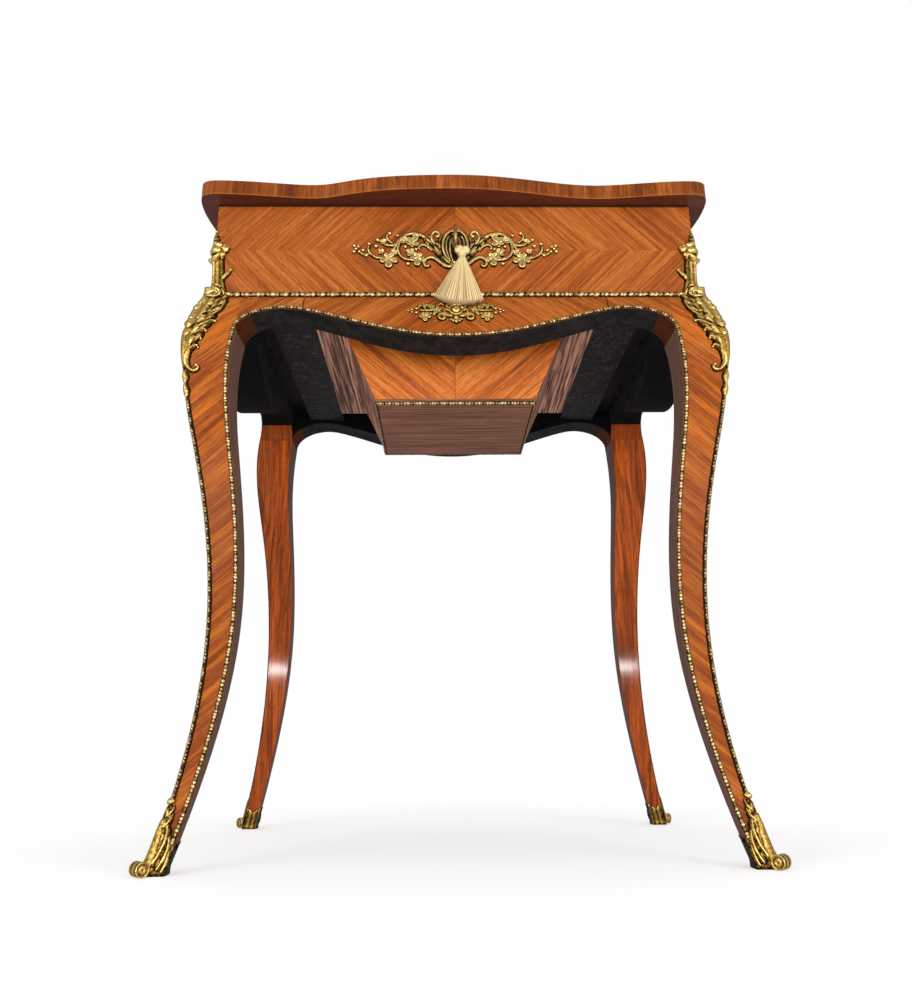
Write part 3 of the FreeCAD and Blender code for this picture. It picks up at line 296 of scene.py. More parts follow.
def even_path(path, spacing):
    """Path resampled to points at even distances."""
    run = distances(path)
    at = np.linspace(0.0, run[-1], max(int(round(run[-1] / spacing)), 2) + 1)
    return np.stack([np.interp(at, run, path[:, axis]) for axis in range(3)], axis=-1)


def face_normal(path, side, end):
    """Outward normal of the swelling front, side or arris at points of a path, from its slope in height."""
    z = path[:, 2]
    slope = np.where(z < FRIEZE_LOW, (outer_at(z + 1e-4) - outer_at(z - 1e-4)) / 2e-4, 0.0)
    ways = [np.full_like(z, side), np.full_like(z, end), -slope * math.hypot(side, end) ** 2]
    return unit(np.stack(ways, axis=-1))


def moulding(casting, path, normal, half_width, height, pitch, skew, under=0.3):
    """Leaf moulding: a flattened round profile carried along a path.

    Its size follows |sin(pi s / pitch + drift + skew |cos t|)|, with s the distance run and t the turn round
    the profile, so that pointed leaves follow one another; the drift, a sum of sines, makes them uneven.
    """
    tangent = unit(np.gradient(path, axis=0))
    side = unit(np.cross(normal, tangent))
    run = distances(path)
    turn = circle(10)
    across = np.cos(turn)
    up = np.where(np.sin(turn) > 0, np.sin(turn), under * np.sin(turn))
    drift = 0.4 * np.sin(run * 311.0) + 0.4 * np.sin(run * 97.0 + 1.0)
    swell = np.abs(np.sin((math.pi * run / pitch + drift)[:, None] + skew * np.abs(across)))
    wave = 0.78 + 0.22 * np.sin(run * 523.0 + 2.0 * np.sin(run * 71.0))[:, None]
    size = 0.72 + 0.28 * swell ** 0.7 * wave
    points = (path[:, None] + side[:, None] * (half_width * across * size)[..., None]
              + normal[:, None] * (height * up * size)[..., None])
    # Crest: light on the leaf tops, dark on the flanks and underside; painted light and shade, with dirt in
    # the low places
    crest = (0.26 + 0.62 * swell ** 0.7) * wave * (0.16 + np.clip(up, 0.0, 1.0) ** 1.3)
    casting.rings(points, crest)


def apron_path(half, inset):
    """Lower edge of an apron from one leg to the other, moved into the wood by an inset.

    Each half is a quarter ellipse out of the leg block and then a cosine, of a power of the distance,
    to the middle.
    """
    turn = np.linspace(0.0, math.pi / 2, 25)
    part = np.linspace(0.0, 1.0, 61)[1:]
    u = np.concatenate([-LEG_BLOCK - ARCH_REACH * (1 - np.cos(turn)),
                        -LEG_BLOCK - ARCH_REACH - (half - LEG_BLOCK - ARCH_REACH) * part])
    fall = (ARCH_CROWN - APRON_MIDDLE) * (1 - np.cos(math.pi * part ** WAVE_POWER)) / 2
    z = np.concatenate([ARCH_SPRING + (ARCH_CROWN - ARCH_SPRING) * np.sin(turn), ARCH_CROWN - fall])
    run, rise = np.gradient(u), np.gradient(z)
    reach = np.hypot(run, rise)
    place = half + u + rise / reach * inset
    height = z - run / reach * inset
    return np.concatenate([place, -place[-2::-1]]), np.concatenate([height, height[-2::-1]])


def smooth_path(points, count):
    """Smooth curve through points of a panel in millimetres, at even shares of its chord length."""
    points = np.array(points, dtype=float) * MM
    knots = distances(points)
    at = np.linspace(0.0, knots[-1], count)
    return np.stack([eased(at, knots, points[:, axis]) for axis in (0, 1)], axis=-1)


def along(share, values):
    """Values read off evenly along a line, in millimetres."""
    return np.interp(share, np.linspace(0.0, 1.0, len(values)), values) * MM


class Relief:
    """Ornaments cast on one face of the table, placed along it, up it and off the wood in millimetres."""

    def __init__(self, casting, place):
        self.casting = casting
        self.place = place

    def mirrored(self):
        """The same face with its left and right changed over."""
        return Relief(self.casting, lambda a, b, h: self.place(-a, b, h))

    def stroke(self, points, widths, heights, lobes=0, flutes=0, lift=(0.0,), columns=12, sweep=0.0,
               bite=0.26, tone=1.0):
        """Scroll or leaf along a smooth line.

        The section is an ellipse with the half-width and height read along the line, rounded ends and a thin
        foot; lobes scallop the edges with |sin|, swept along the line towards the edges, and flutes groove
        the top with a cosine. Its crest is painted light and shade with dirt: light on top, dark on the thin
        foot round it, in the flutes and in the scallops. A lower tone darkens it all, a higher one lightens
        it.
        """
        rows = max(10 + 7 * len(points), 9 * lobes)
        share = np.linspace(0.0, 1.0, rows)
        path = smooth_path(points, rows)
        tangent = unit(np.gradient(path, axis=0))
        end = np.sqrt(np.clip(np.minimum(share, 1.0 - share) / 0.07, 0.02, 1.0))
        turn = circle(columns)
        across = np.cos(turn)
        up = np.where(np.sin(turn) > 0, np.sin(turn), 0.25 * np.sin(turn))
        face = np.clip(up, 0.0, 1.0)
        scallop = np.ones((rows, columns))
        if lobes:
            swept = share[:, None] + sweep * np.abs(across)
            scallop = 1 - bite + bite * np.abs(np.sin(math.pi * lobes * swept)) ** 0.7
        width = (along(share, widths) * end)[:, None] * scallop * (1 + 0.14 * (1 - face) ** 3)
        height = (along(share, heights) * end)[:, None] * (0.5 + 0.5 * scallop)
        groove = 0.5 + 0.5 * np.cos(math.pi * flutes * across) if flutes else np.ones(columns)
        a = path[:, :1] - tangent[:, 1:] * width * across
        b = path[:, 1:] + tangent[:, :1] * width * across
        h = along(share, lift)[:, None] + height * up * (0.8 + 0.2 * groove)
        edge = np.clip((scallop - 1 + bite) / bite, 0.35, 1.0)
        self.casting.rings(self.place(a, b, h), tone * face * (0.4 + 0.6 * groove) * edge)

    def leaf(self, centre, heading, size, height, lobes=5, lift=0.0, fullness=0.55):
        """Lobed leaf: its radius is size (fullness + rest |cos(lobes t / 2)|), longest ahead.

        The face is hollow, with veins along the lobes. Its crest is painted shade with dirt: darker in the
        veins, between the lobes and on the rim under the edge.
        """
        turn = circle(12 * lobes)
        share = np.array([0.05, 0.22, 0.42, 0.62, 0.8, 0.93, 1.0, 1.06])[:, None]
        lobe = np.abs(np.cos(lobes * turn / 2)) ** 0.8
        reach = size * (fullness + (1 - fullness) * lobe) * (0.84 + 0.26 * np.cos(turn))
        a = centre[0] + share * reach * np.cos(turn + heading)
        b = centre[1] + share * reach * np.sin(turn + heading)
        vein = np.exp(-(np.sin(lobes * turn / 2) / 0.16) ** 2) * np.clip(share * 3 - 0.6, 0.0, 1.0)
        h = lift + height * (0.72 + 0.28 * share ** 2) * (0.7 + 0.3 * lobe) * (1 - 0.12 * vein)
        h[-2] = lift + 0.45 * height
        h[-1] = lift - 0.4
        crest = (0.62 + 0.38 * lobe) * (1 - 0.55 * vein) * np.where(share > 0.97, 0.0, 1.0)
        self.casting.rings(self.place(a * MM, b * MM, h * MM), crest)

    def bead(self, centre, radius, lift=0.0, flat=1.0):
        """Round bead: a sphere by latitude and turn, pressed flat by a factor."""
        turn = circle(12)
        latitude = np.linspace(-1.45, 1.45, 9)[:, None]
        a = centre[0] + radius * np.cos(latitude) * np.cos(turn)
        b = centre[1] + radius * np.cos(latitude) * np.sin(turn)
        h = lift + radius * flat * np.sin(latitude) + np.zeros_like(turn)
        # Crest: light on top, falling towards the foot; painted light and shade
        crest = np.clip(0.3 + 0.9 * np.sin(latitude), 0.0, 1.0) + np.zeros_like(turn)
        self.casting.rings(self.place(a * MM, b * MM, h * MM), crest)


def volute(centre, radius, start, turns, inner=0.25):
    """Points of a spiral about a centre: its radius shrinks evenly to an inner share as it turns."""
    share = np.linspace(0.0, 1.0, max(int(abs(turns) * 9), 5))
    angle = start + 2 * math.pi * turns * share
    reach = radius * (1 - (1 - inner) * share)
    return np.stack([centre[0] + reach * np.cos(angle), centre[1] + reach * np.sin(angle)], axis=-1).tolist()


def frieze_panel(a, b, h):
    """Front frieze: along, up from the key, and off the wood."""
    return np.stack(np.broadcast_arrays(a, -HALF_Y - h, KEY_Z + b), axis=-1)


def apron_panel(a, b, h):
    """Swelling middle of the front apron: along, up from the middle of its mount, and off the wood."""
    z = np.minimum(BADGE_Z + b, FRIEZE_LOW - 1e-4)
    return np.stack(np.broadcast_arrays(a, -HALF_Y - outer_at(z) - h, z), axis=-1)


def tassel_panel(a, b, h):
    """Upright plane through the key's shank: along, up from the key, and to the front."""
    return np.stack(np.broadcast_arrays(a, TASSEL_Y - h, KEY_Z + b), axis=-1)


def corner_panel(side, end):
    """Corner of the case and its leg: round the arris, up from the foot of the frieze, and off the wood.

    Within a short arc the distance round the corner becomes a turn about a point inside the arris; beyond
    it the panel runs straight over the two faces.
    """
    def place(s, b, h):
        s, b, h = np.broadcast_arrays(s, b, h)
        z = FRIEZE_LOW + b
        out = outer_at(z)
        core = 4 * MM
        arc = core * math.pi / 4
        angle = np.clip(s, -arc, arc) / core + math.pi / 4
        reach = core / np.maximum(np.cos(angle), np.sin(angle)) + h
        x = HALF_X + out - core + reach * np.cos(angle) - np.maximum(s - arc, 0.0)
        y = HALF_Y + out - core + reach * np.sin(angle) - np.maximum(-s - arc, 0.0)
        return np.stack([side * x, end * y, z], axis=-1)
    return place


def finish_piece(obj, body, slot, *nodes):
    """Fix a new piece to its body and let it stand for frame nodes, which it hides; the slot is not used."""
    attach(obj, body)
    if nodes:
        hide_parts(*nodes)


class Signal:
    """Output of a shader node; arithmetic and comparisons on it add math nodes."""

    def __init__(self, sketch, socket):
        self.sketch = sketch
        self.socket = socket

    def __abs__(self):
        return self.sketch.math("ABSOLUTE", self)

    def __add__(self, other):
        return self.sketch.math("ADD", self, other)

    def __sub__(self, other):
        return self.sketch.math("SUBTRACT", self, other)

    def __rsub__(self, other):
        return self.sketch.math("SUBTRACT", other, self)

    def __mul__(self, other):
        return self.sketch.math("MULTIPLY", self, other)

    def __gt__(self, other):
        return self.sketch.math("GREATER_THAN", self, other)

    def __lt__(self, other):
        return self.sketch.math("LESS_THAN", self, other)


class NodeSketch:
    """Short way to write a node tree: every call adds a node and returns its output as a signal."""

    def __init__(self, name, kind="materials", ending="ShaderNodeOutputMaterial"):
        self.owner = getattr(bpy.data, kind).new(name)
        self.owner.use_nodes = True
        self.tree = self.owner.node_tree
        self.tree.nodes.clear()
        self.ending = ending

    def feed(self, socket, value):
        """Link a signal to a socket, or set the socket to a constant."""
        if isinstance(value, Signal):
            self.tree.links.new(value.socket, socket)
        else:
            socket.default_value = value

    def add(self, kind, inputs=(), output=0, **settings):
        """Node with its settings and its inputs, given as pairs of a socket and a value."""
        node = self.tree.nodes.new(kind)
        for key, value in settings.items():
            setattr(node, key, value)
        for key, value in inputs:
            self.feed(node.inputs[key], value)
        return Signal(self, node.outputs[output])

    def math(self, operation, first, second=0.0, clamp=False):
        """Math on one or two values."""
        values = enumerate((first, second, 0.0))
        return self.add("ShaderNodeMath", values, operation=operation, use_clamp=clamp)

    def vector(self, x, y, z):
        """Vector from its parts."""
        return self.add("ShaderNodeCombineXYZ", enumerate((x, y, z)))

    def parts(self, vector):
        """The three parts of a vector."""
        node = self.tree.nodes.new("ShaderNodeSeparateXYZ")
        self.feed(node.inputs[0], vector)
        return [Signal(self, socket) for socket in node.outputs]

    def place(self):
        """Object coordinates and object normal."""
        node = self.tree.nodes.new("ShaderNodeTexCoord")
        return Signal(self, node.outputs["Object"]), Signal(self, node.outputs["Normal"])

    def noise(self, vector, scale, detail=2.0, roughness=0.5, distortion=0.0):
        """Cloudy noise about 0.5."""
        return self.add("ShaderNodeTexNoise", (("Vector", vector), ("Scale", scale), ("Detail", detail),
                                               ("Roughness", roughness), ("Distortion", distortion)))

    def between(self, value, low, high, start=0.0, end=1.0):
        """Value carried from one range to another, held at the ends."""
        return self.add("ShaderNodeMapRange", (("Value", value), ("From Min", low), ("From Max", high),
                                               ("To Min", start), ("To Max", end)), clamp=True)

    def mix(self, share, first, second):
        """First colour where share is 0 and second where it is 1."""
        tints = [tint if isinstance(tint, Signal) else (*tint, 1.0) for tint in (first, second)]
        return self.add("ShaderNodeMix", ((0, share), (6, tints[0]), (7, tints[1])), 2, data_type="RGBA")

    def pick(self, share, first, second):
        """First number where share is 0 and second where it is 1."""
        return self.add("ShaderNodeMix", ((0, share), (2, first), (3, second)), data_type="FLOAT")

    def attribute(self, name):
        """Attribute stored on the mesh."""
        return self.add("ShaderNodeAttribute", output="Fac", attribute_name=name)

    def bump(self, height, strength, distance):
        """Normal of a fine relief."""
        return self.add("ShaderNodeBump", (("Height", height), ("Strength", strength),
                                           ("Distance", distance)))

    def finish(self, **inputs):
        """Principled surface from named inputs, which ends the tree."""
        named = [(name.replace("_", " "), value) for name, value in inputs.items()]
        return self.close(self.add("ShaderNodeBsdfPrincipled", named))

    def close(self, surface):
        """Output node behind a surface; returns the material or world."""
        output = self.tree.nodes.new(self.ending)
        self.feed(output.inputs[0], surface)
        return self.owner


def scaled(tint, share):
    """Colour with each part multiplied by a share."""
    return [share * part for part in tint]


def lay(material, *nodes):
    """Give frame nodes a material in place of their own."""
    for node in nodes:
        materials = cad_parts[node].data.materials
        materials.clear()
        materials.append(material)


def grain(sketch, across, along, seed, light, middle, dark):
    """Colour and pore height of one veneer from coordinates across and along its grain."""
    def streaks(stretch, scale, detail, roughness=0.6, distortion=0.0):
        place = sketch.vector(across, along * stretch, seed)
        return sketch.noise(place, scale, detail, roughness, distortion)

    broad = streaks(0.05, 30.0, 3.0, distortion=0.4)
    stripe = streaks(0.025, 190.0, 4.0, 0.7, 0.5)
    fine = streaks(0.03, 700.0, 2.0)
    pore = streaks(0.07, 1300.0, 2.0)
    tone = broad * 0.45 + stripe * 0.7 + fine * 0.5
    ground = sketch.mix(sketch.between(tone, 0.55, 0.82), dark, middle)
    ground = sketch.mix(sketch.between(tone, 0.82, 1.04), ground, light)
    dash = sketch.between(pore, 0.57, 0.68, 0.0, 0.65)
    return sketch.mix(dash, ground, scaled(dark, 0.4)), pore


def face_ways(sketch):
    """Place, height, distance along a face, how far it looks out and up, and whether it looks sideways."""
    place, normal = sketch.place()
    x, y, z = sketch.parts(place)
    nx, ny, nz = sketch.parts(normal)
    on_side = abs(nx) > abs(ny)
    run = sketch.pick(on_side, x, y)
    outward = sketch.pick(on_side, ny * y, nx * x)
    return place, z, run, outward, nz, on_side


def laid(run, height, rise, slope):
    """Coordinates across and along a grain that is mirrored about the middle of a face.

    Across is |run| sin(slope) + rise height cos(slope), and along is |run| cos(slope) - rise height
    sin(slope).
    """
    side = abs(run)
    sine, cosine = math.sin(slope), math.cos(slope)
    return side * sine + height * (rise * cosine), side * cosine - height * (rise * sine)


def polished(sketch, paint, pore, gloss=0.0, shown=1.0, shine=0.2):
    """French-polished surface over a grain, smoother by a gloss and dull where it isn't shown."""
    polish = bpy.context.scene.work_table_wood.polish - gloss
    rough = sketch.pick(shown, 0.85, sketch.between(pore, 0.3, 0.8, polish, polish + 0.14))
    return sketch.finish(Base_Color=paint, Roughness=rough, Normal=sketch.bump(pore, 0.12, 0.0004), IOR=1.5,
                         Specular_IOR_Level=shine, Coat_Weight=0.15 * shine, Coat_Roughness=0.1)


def veneer(name, level=None, rise=1.0, slope=0.8, seed=0.0, inside="wood", glow=1.0):
    """Veneer laid in mirrored halves about the middle of each face.

    With a level the height is |z - level|, which makes lozenges. Faces that look into the table are painted
    black with inside="paint", as those that look down are, or straight-grained with inside="straight".
    """
    wood = bpy.context.scene.work_table_wood
    sketch = NodeSketch(name)
    place, z, run, outward, nz, on_side = face_ways(sketch)
    height = z if level is None else abs(z - level)
    across, along = laid(run, height, rise, slope)
    half = sketch.math("SIGN", run) * 0.013 + (seed + 0.07)
    if level is not None:
        half = half + sketch.math("SIGN", z - level) * 0.005
    # glow scales the light and ground colours: it darkens the case and apron veneers a little, and on the
    # well's panels it is painted light
    light = [min(part, 1.0) for part in scaled(wood.light, glow)]
    paint, pore = grain(sketch, across, along, half, light, scaled(wood.middle, glow), wood.dark)
    paint = sketch.mix(sketch.between(abs(run), 0.0002, 0.0006, 0.55, 0.0), paint, wood.dark)
    shown = outward > 0.0
    if inside == "paint":
        shown = shown * (nz > -0.5)
        worn = sketch.noise(place, 60.0, 4.0, 0.7)
        black = sketch.mix(sketch.between(worn, 0.5, 0.8), scaled(wood.paint, 0.7), scaled(wood.paint, 1.8))
        rubbed = sketch.mix(sketch.between(worn, 0.4, 0.65), scaled(wood.paint, 2.5), scaled(wood.paint, 7.0))
        black = sketch.mix(on_side, black, rubbed)
        # Painted shade in the gap between the aprons and the well's apron: a dark line along the seam
        drawn = abs(abs(run) - SEAM_X)
        paint = sketch.mix(sketch.between(drawn, 0.0004, 0.0009, 0.9, 0.0), paint, wood.paint)
        paint = sketch.mix(shown, black, paint)
        x, y = sketch.parts(place)[:2]
        nx, ny = sketch.parts(sketch.place()[1])[:2]
        sidewall = abs(x) - HALF_X > abs(y) - HALF_Y
        steep = (abs(sketch.pick(sidewall, ny, nx)) < 0.3) * (nz > -0.86)
        throat = grain(sketch, sketch.pick(sidewall, y, x), z, seed + 0.4, wood.inner,
                       scaled(wood.inner, 0.7), wood.dark)[0]
        # Painted shade: inside the arches of the side aprons the throat grain is taken most of the way to
        # black
        throat = sketch.mix(sketch.pick(sidewall, 0.7, 0.0), throat, wood.paint)
        paint = sketch.mix(steep, paint, throat)
        return polished(sketch, paint, pore, shown=shown, shine=0.1)
    if inside == "straight":
        straight = grain(sketch, run, z, seed + 0.4, scaled(wood.inner, 1.9), wood.inner,
                         scaled(wood.dark, 0.6))[0]
        cloud = sketch.noise(sketch.vector(run, z * 0.07, seed + 0.9), 110.0, 4.0, 0.65, 0.9)
        straight = sketch.mix(sketch.between(cloud, 0.48, 0.62, 0.0, 0.8), straight, scaled(wood.inner, 0.3))
        # Painted shade: the sides of the legs that look in are taken most of the way to the dark grey side
        # shade
        dusky = sketch.mix(0.8, straight, wood.side_shade)
        band = sketch.noise(sketch.vector(across, along * 0.05, seed + 1.7), 85.0, 6.0, 0.8)
        paint = sketch.mix(sketch.between(band, 0.47, 0.6, 0.0, 0.6), paint, scaled(wood.dark, 1.9))
        paint = sketch.mix(sketch.between(band, 0.34, 0.5, 0.6, 0.0), paint, wood.gold)
        # Darker towards the bottom of the legs
        paint = sketch.mix(sketch.between(z, 0.3, 0.54, 0.14, 0.0), paint, wood.dark)
        straight = sketch.mix(on_side, straight, dusky)
        paint = sketch.mix(shown, straight, paint)
        pore = pore * (shown * 0.7 + 0.3)
        lit = sketch.math("MAXIMUM", shown, 1.0 - on_side)
        return polished(sketch, paint, pore, 0.17, lit)
    # Painted shadow of the lid: a dark band just under the top of the frieze, on its outward faces
    lid_shadow = sketch.between(z, FRIEZE_TOP - 0.0036, FRIEZE_TOP - 0.0024, 0.0, 0.92) * (shown * (nz < 0.5))
    return polished(sketch, sketch.mix(lid_shadow, paint, wood.paint), pore)


def lid_veneer(name, seed):
    """Lid: quartered top, cross-banded edge with upright grain, and a dark underside."""
    wood = bpy.context.scene.work_table_wood
    sketch = NodeSketch(name)
    place, normal = sketch.place()
    x, y, z = sketch.parts(place)
    nz = sketch.parts(normal)[2]
    beyond_x = abs(x) - HALF_X
    beyond_y = abs(y) - HALF_Y
    run = sketch.pick(beyond_x > beyond_y, x, y)
    band = grain(sketch, run, z, seed, wood.middle, scaled(wood.middle, 0.62), scaled(wood.dark, 0.6))[0]
    across, along = laid(x, abs(y), 1.0, wood.slope)
    top, pore = grain(sketch, across, along, seed + 0.2, wood.light, wood.middle, wood.dark)
    border = sketch.math("MAXIMUM", beyond_x, beyond_y) + 0.016
    patch = sketch.noise(sketch.vector(run, z * 0.1, seed), 62.0, 5.0, 0.75, 0.3)
    band = sketch.mix(sketch.between(patch, 0.5, 0.64, 0.0, 0.75), band, wood.dark)
    band = sketch.mix(sketch.between(patch, 0.34, 0.46, 0.5, 0.0), band, wood.light)
    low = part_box("lid_board")[0][2]
    # Painted highlight: a pale line along the lower arris of the lid's edge
    band = sketch.mix(sketch.between(z, low + 0.001, low + 0.0018, 0.3, 0.0), band, wood.light)
    top = sketch.mix(sketch.between(border, 0.0, 0.0006), top, band)
    top = sketch.mix(sketch.between(abs(border), 0.0006, 0.0012, 0.8, 0.0), top, wood.dark)
    under = grain(sketch, y, x, seed + 0.5, scaled(wood.shade, 1.5), wood.shade, scaled(wood.shade, 0.4))[0]
    paint = sketch.mix(nz > 0.6, band, top)
    paint = sketch.mix(nz < -0.6, paint, under)
    return polished(sketch, paint, pore)


def plain_wood(name, tint, way, seed, figure=0.3):
    """Plain sawn wood: grain along one axis, lighter and darker by its figure, dark flecks, slight relief."""
    sketch = NodeSketch(name)
    x, y, z = sketch.parts(sketch.place()[0])
    along, across = (x, y) if way == "x" else (y, x)
    stretched = sketch.vector(along * 0.025, across, z + seed)
    broad = sketch.noise(stretched, 70.0, 4.0, 0.6, 0.5)
    fine = sketch.noise(stretched, 640.0 - 400.0 * figure, 3.0, 0.6)
    fleck = sketch.noise(stretched, 240.0, 1.0, 0.4)
    paint = sketch.mix(sketch.between(broad, 0.3, 0.7), scaled(tint, 1 - figure), scaled(tint, 1 + figure))
    streak = sketch.between(fine, 0.44, 0.56, min(2 * figure, 0.95), 0.0)
    paint = sketch.mix(streak, paint, scaled(tint, 0.12))
    paint = sketch.mix(sketch.between(fleck, 0.7, 0.78, 0.0, 0.8), paint, scaled(tint, 0.18))
    return sketch.finish(Base_Color=paint, Roughness=0.6, Normal=sketch.bump(fine, 0.3, 0.0006), IOR=1.5,
                         Specular_IOR_Level=0.15)


def black_paint(name, seed, crust=1.0):
    """Old black paint: faint brush marks and rubbed grey patches, lumpier with more crust.

    Faces that look up, inside the case, are left plain wood.
    """
    wood = bpy.context.scene.work_table_wood
    sketch = NodeSketch(name)
    place, normal = sketch.place()
    x, y, z = sketch.parts(place)
    brush = sketch.noise(sketch.vector(x, y * 0.15, z + seed), 190.0, 3.0, 0.6)
    rub = sketch.noise(place, 38.0, 5.0, 0.75, 0.6)
    worm = abs(sketch.noise(place, 75.0, 2.0, 0.5, 1.2) - 0.5)
    paint = sketch.mix(sketch.between(brush, 0.35, 0.7), wood.paint, scaled(wood.paint, 1.7))
    paint = sketch.mix(sketch.between(rub, 0.5, 0.68, 0.0, 0.75), paint, scaled(wood.paint, 3 * crust))
    # Painted highlights: lighter lines along the crust of the paint
    crust_highlight = sketch.between(worm, 0.0, 0.03, 0.8, 0.0) * sketch.between(rub, 0.42, 0.55)
    paint = sketch.mix(crust_highlight, paint, scaled(wood.paint, 9 * crust))
    bare = sketch.mix(sketch.between(brush, 0.3, 0.7), scaled(wood.plain, 0.55), wood.plain)
    paint = sketch.mix(sketch.parts(normal)[2] > 0.5, paint, bare)
    rough = sketch.between(rub, 0.4, 0.7, 0.5, 0.75)
    return sketch.finish(Base_Color=paint, Roughness=rough, Normal=sketch.bump(rub, 0.6, 0.002 * crust),
                         IOR=1.5, Specular_IOR_Level=0.13)


def gilt(name, pale=0.0):
    """Fire-gilt bronze: burnished crests with painted highlights, duller flanks in painted shade, dirt and
    painted shade in the recesses; paler where worn.
    """
    tints = bpy.context.scene.work_table_gilt
    sketch = NodeSketch(name)
    place = sketch.place()[0]
    crest = sketch.attribute("crest")
    patch = sketch.noise(place, 420.0, 4.0, 0.65)
    speck = sketch.noise(place, 1500.0, 2.0, 0.6)
    # The crest carries painted light and shade as well as the high and low places of the relief
    height = crest + sketch.between(patch, 0.3, 0.7, -0.3, 0.22)
    paint = sketch.mix(sketch.between(height, 0.26, 0.6), tints.recess,
                       sketch.mix(pale, tints.ground, scaled(tints.straw, 0.6)))
    paint = sketch.mix(sketch.between(height, 0.6, 1.0), paint, sketch.mix(pale, tints.crest, tints.straw))
    rough = sketch.between(height + speck * 0.3, 0.2, 1.1, 0.55, 0.24)
    return sketch.finish(Base_Color=paint, Roughness=rough, Metallic=0.95, IOR=1.5,
                         Normal=sketch.bump(speck, 0.25, 0.0003))


def metal(name, tint, rough):
    """Worn plain metal with blotches and fine scratches."""
    sketch = NodeSketch(name)
    place = sketch.place()[0]
    blotch = sketch.noise(place, 210.0, 4.0, 0.6)
    scratch = sketch.noise(sketch.vector(*sketch.parts(place)[:2], 0.0), 2600.0, 2.0, 0.6)
    paint = sketch.mix(sketch.between(blotch, 0.35, 0.7), scaled(tint, 0.55), tint)
    return sketch.finish(Base_Color=paint, Roughness=sketch.between(blotch, 0.3, 0.7, rough + 0.15, rough),
                         Metallic=1.0, Normal=sketch.bump(scratch, 0.15, 0.0002), IOR=1.5)


def silk(name):
    """Silk thread: a crest attribute from deep to lit threads and a fine twist."""
    tints = bpy.context.scene.work_table_tassel
    sketch = NodeSketch(name)
    place = sketch.place()[0]
    crest = sketch.attribute("crest")
    twist = sketch.noise(place, 1800.0, 2.0, 0.6)
    lit = sketch.math("ADD", crest, sketch.between(twist, 0.3, 0.7, -0.15, 0.15), clamp=True)
    paint = sketch.mix(lit, tints.shade, tints.silk)
    return sketch.finish(Base_Color=paint, Roughness=0.55, Normal=sketch.bump(twist, 0.3, 0.0003),
                         Sheen_Weight=0.3)


class WORKTABLE_OT_camera(bpy.types.Operator):
    """Camera that stands low before the table and looks up at it"""

    bl_idname = "work_table.camera"
    bl_label = "Camera"

    def execute(self, context):
        yaw, pitch, roll = CAMERA_TURN
        level = math.cos(pitch)
        forward = np.array([math.sin(yaw) * level, math.cos(yaw) * level, math.sin(pitch)])
        right = np.array([math.cos(yaw), -math.sin(yaw), 0.0])
        up = np.cross(right, forward)
        data = bpy.data.cameras.new("camera")
        data.lens = context.scene.work_table_stage.lens
        data.sensor_width = 36.0
        data.sensor_fit = "AUTO"
        data.shift_x, data.shift_y = CAMERA_SHIFT
        camera = bpy.data.objects.new("camera", data)
        context.scene.collection.objects.link(camera)
        axes = (math.cos(roll) * right + math.sin(roll) * up, math.cos(roll) * up - math.sin(roll) * right,
                -forward, CAMERA_PLACE)
        matrix = Matrix.Identity(4)
        for column, axis in enumerate(axes):
            matrix.col[column].xyz = axis
        camera.matrix_world = matrix
        context.scene.camera = camera
        return {"FINISHED"}


class WORKTABLE_OT_veneer(bpy.types.Operator):
    """Veneer, paint and plain wood on the case, the legs, the lid and the well"""

    bl_idname = "work_table.veneer"
    bl_label = "Veneer and paint"

    def execute(self, context):
        wood = context.scene.work_table_wood
        middle = (FRIEZE_LOW + FRIEZE_TOP) / 2
        lay(veneer("case_veneer", level=middle, slope=wood.slope, seed=0.0, glow=0.93),
            "front_frieze", "back_frieze", "left_frieze", "right_frieze")
        lay(veneer("apron_veneer", slope=wood.leg_slope, seed=0.31, inside="paint", glow=0.88),
            "front_left_apron", "front_right_apron", "well_front_apron", "back_apron", "left_apron",
            "right_apron")
        lay(veneer("leg_veneer", slope=wood.leg_slope, seed=0.47, inside="straight"),
            *(f"{corner}_leg" for corner, *_ in CORNERS))
        # Painted light: glow=1.65 makes a brighter copy of the veneer for the well's panels, which stand in
        # the shade of the case
        lay(veneer("well_veneer_painted_light", rise=-1.0, slope=wood.leg_slope, seed=0.83, glow=1.65),
            "well_front_panel", "well_back_panel")
        lay(lid_veneer("lid_veneer", 1.2), "lid_board")
        lay(black_paint("carcase_paint", 0.0), "case_bottom")
        lay(black_paint("guide_rail_paint", 0.3, 2.5), "left_guide_rail", "right_guide_rail")
        lay(plain_wood("runner_wood", wood.runner, "y", 0.1, 0.7), "well_left_panel", "well_right_panel",
            "left_runner", "right_runner", "front_cross_rail", "back_cross_rail")
        lay(plain_wood("well_bottom_wood", wood.plain, "x", 0.4), "well_bottom")
        return {"FINISHED"}


class WORKTABLE_OT_ironwork(bpy.types.Operator):
    """Metal of the hinges, the lock, the key and the screws"""

    bl_idname = "work_table.ironwork"
    bl_label = "Hinges, lock and key"

    def execute(self, context):
        lay(metal("hinge_brass", (0.6, 0.44, 0.18), 0.35), "left_hinge_fixed_leaf", "right_hinge_fixed_leaf",
            "left_hinge_moving_leaf", "right_hinge_moving_leaf")
        lay(metal("lock_iron", (0.4, 0.39, 0.37), 0.42), "fixed_leaf_screws", "lid_leaf_screws", "hinge_pins",
            "lock_case", "lock_bolt", "lock_strike")
        lay(metal("screw_iron", (0.05, 0.045, 0.04), 0.6), "rail_screws")
        lay(metal("key_bronze", (0.5, 0.36, 0.15), 0.25), "key")
        return {"FINISHED"}


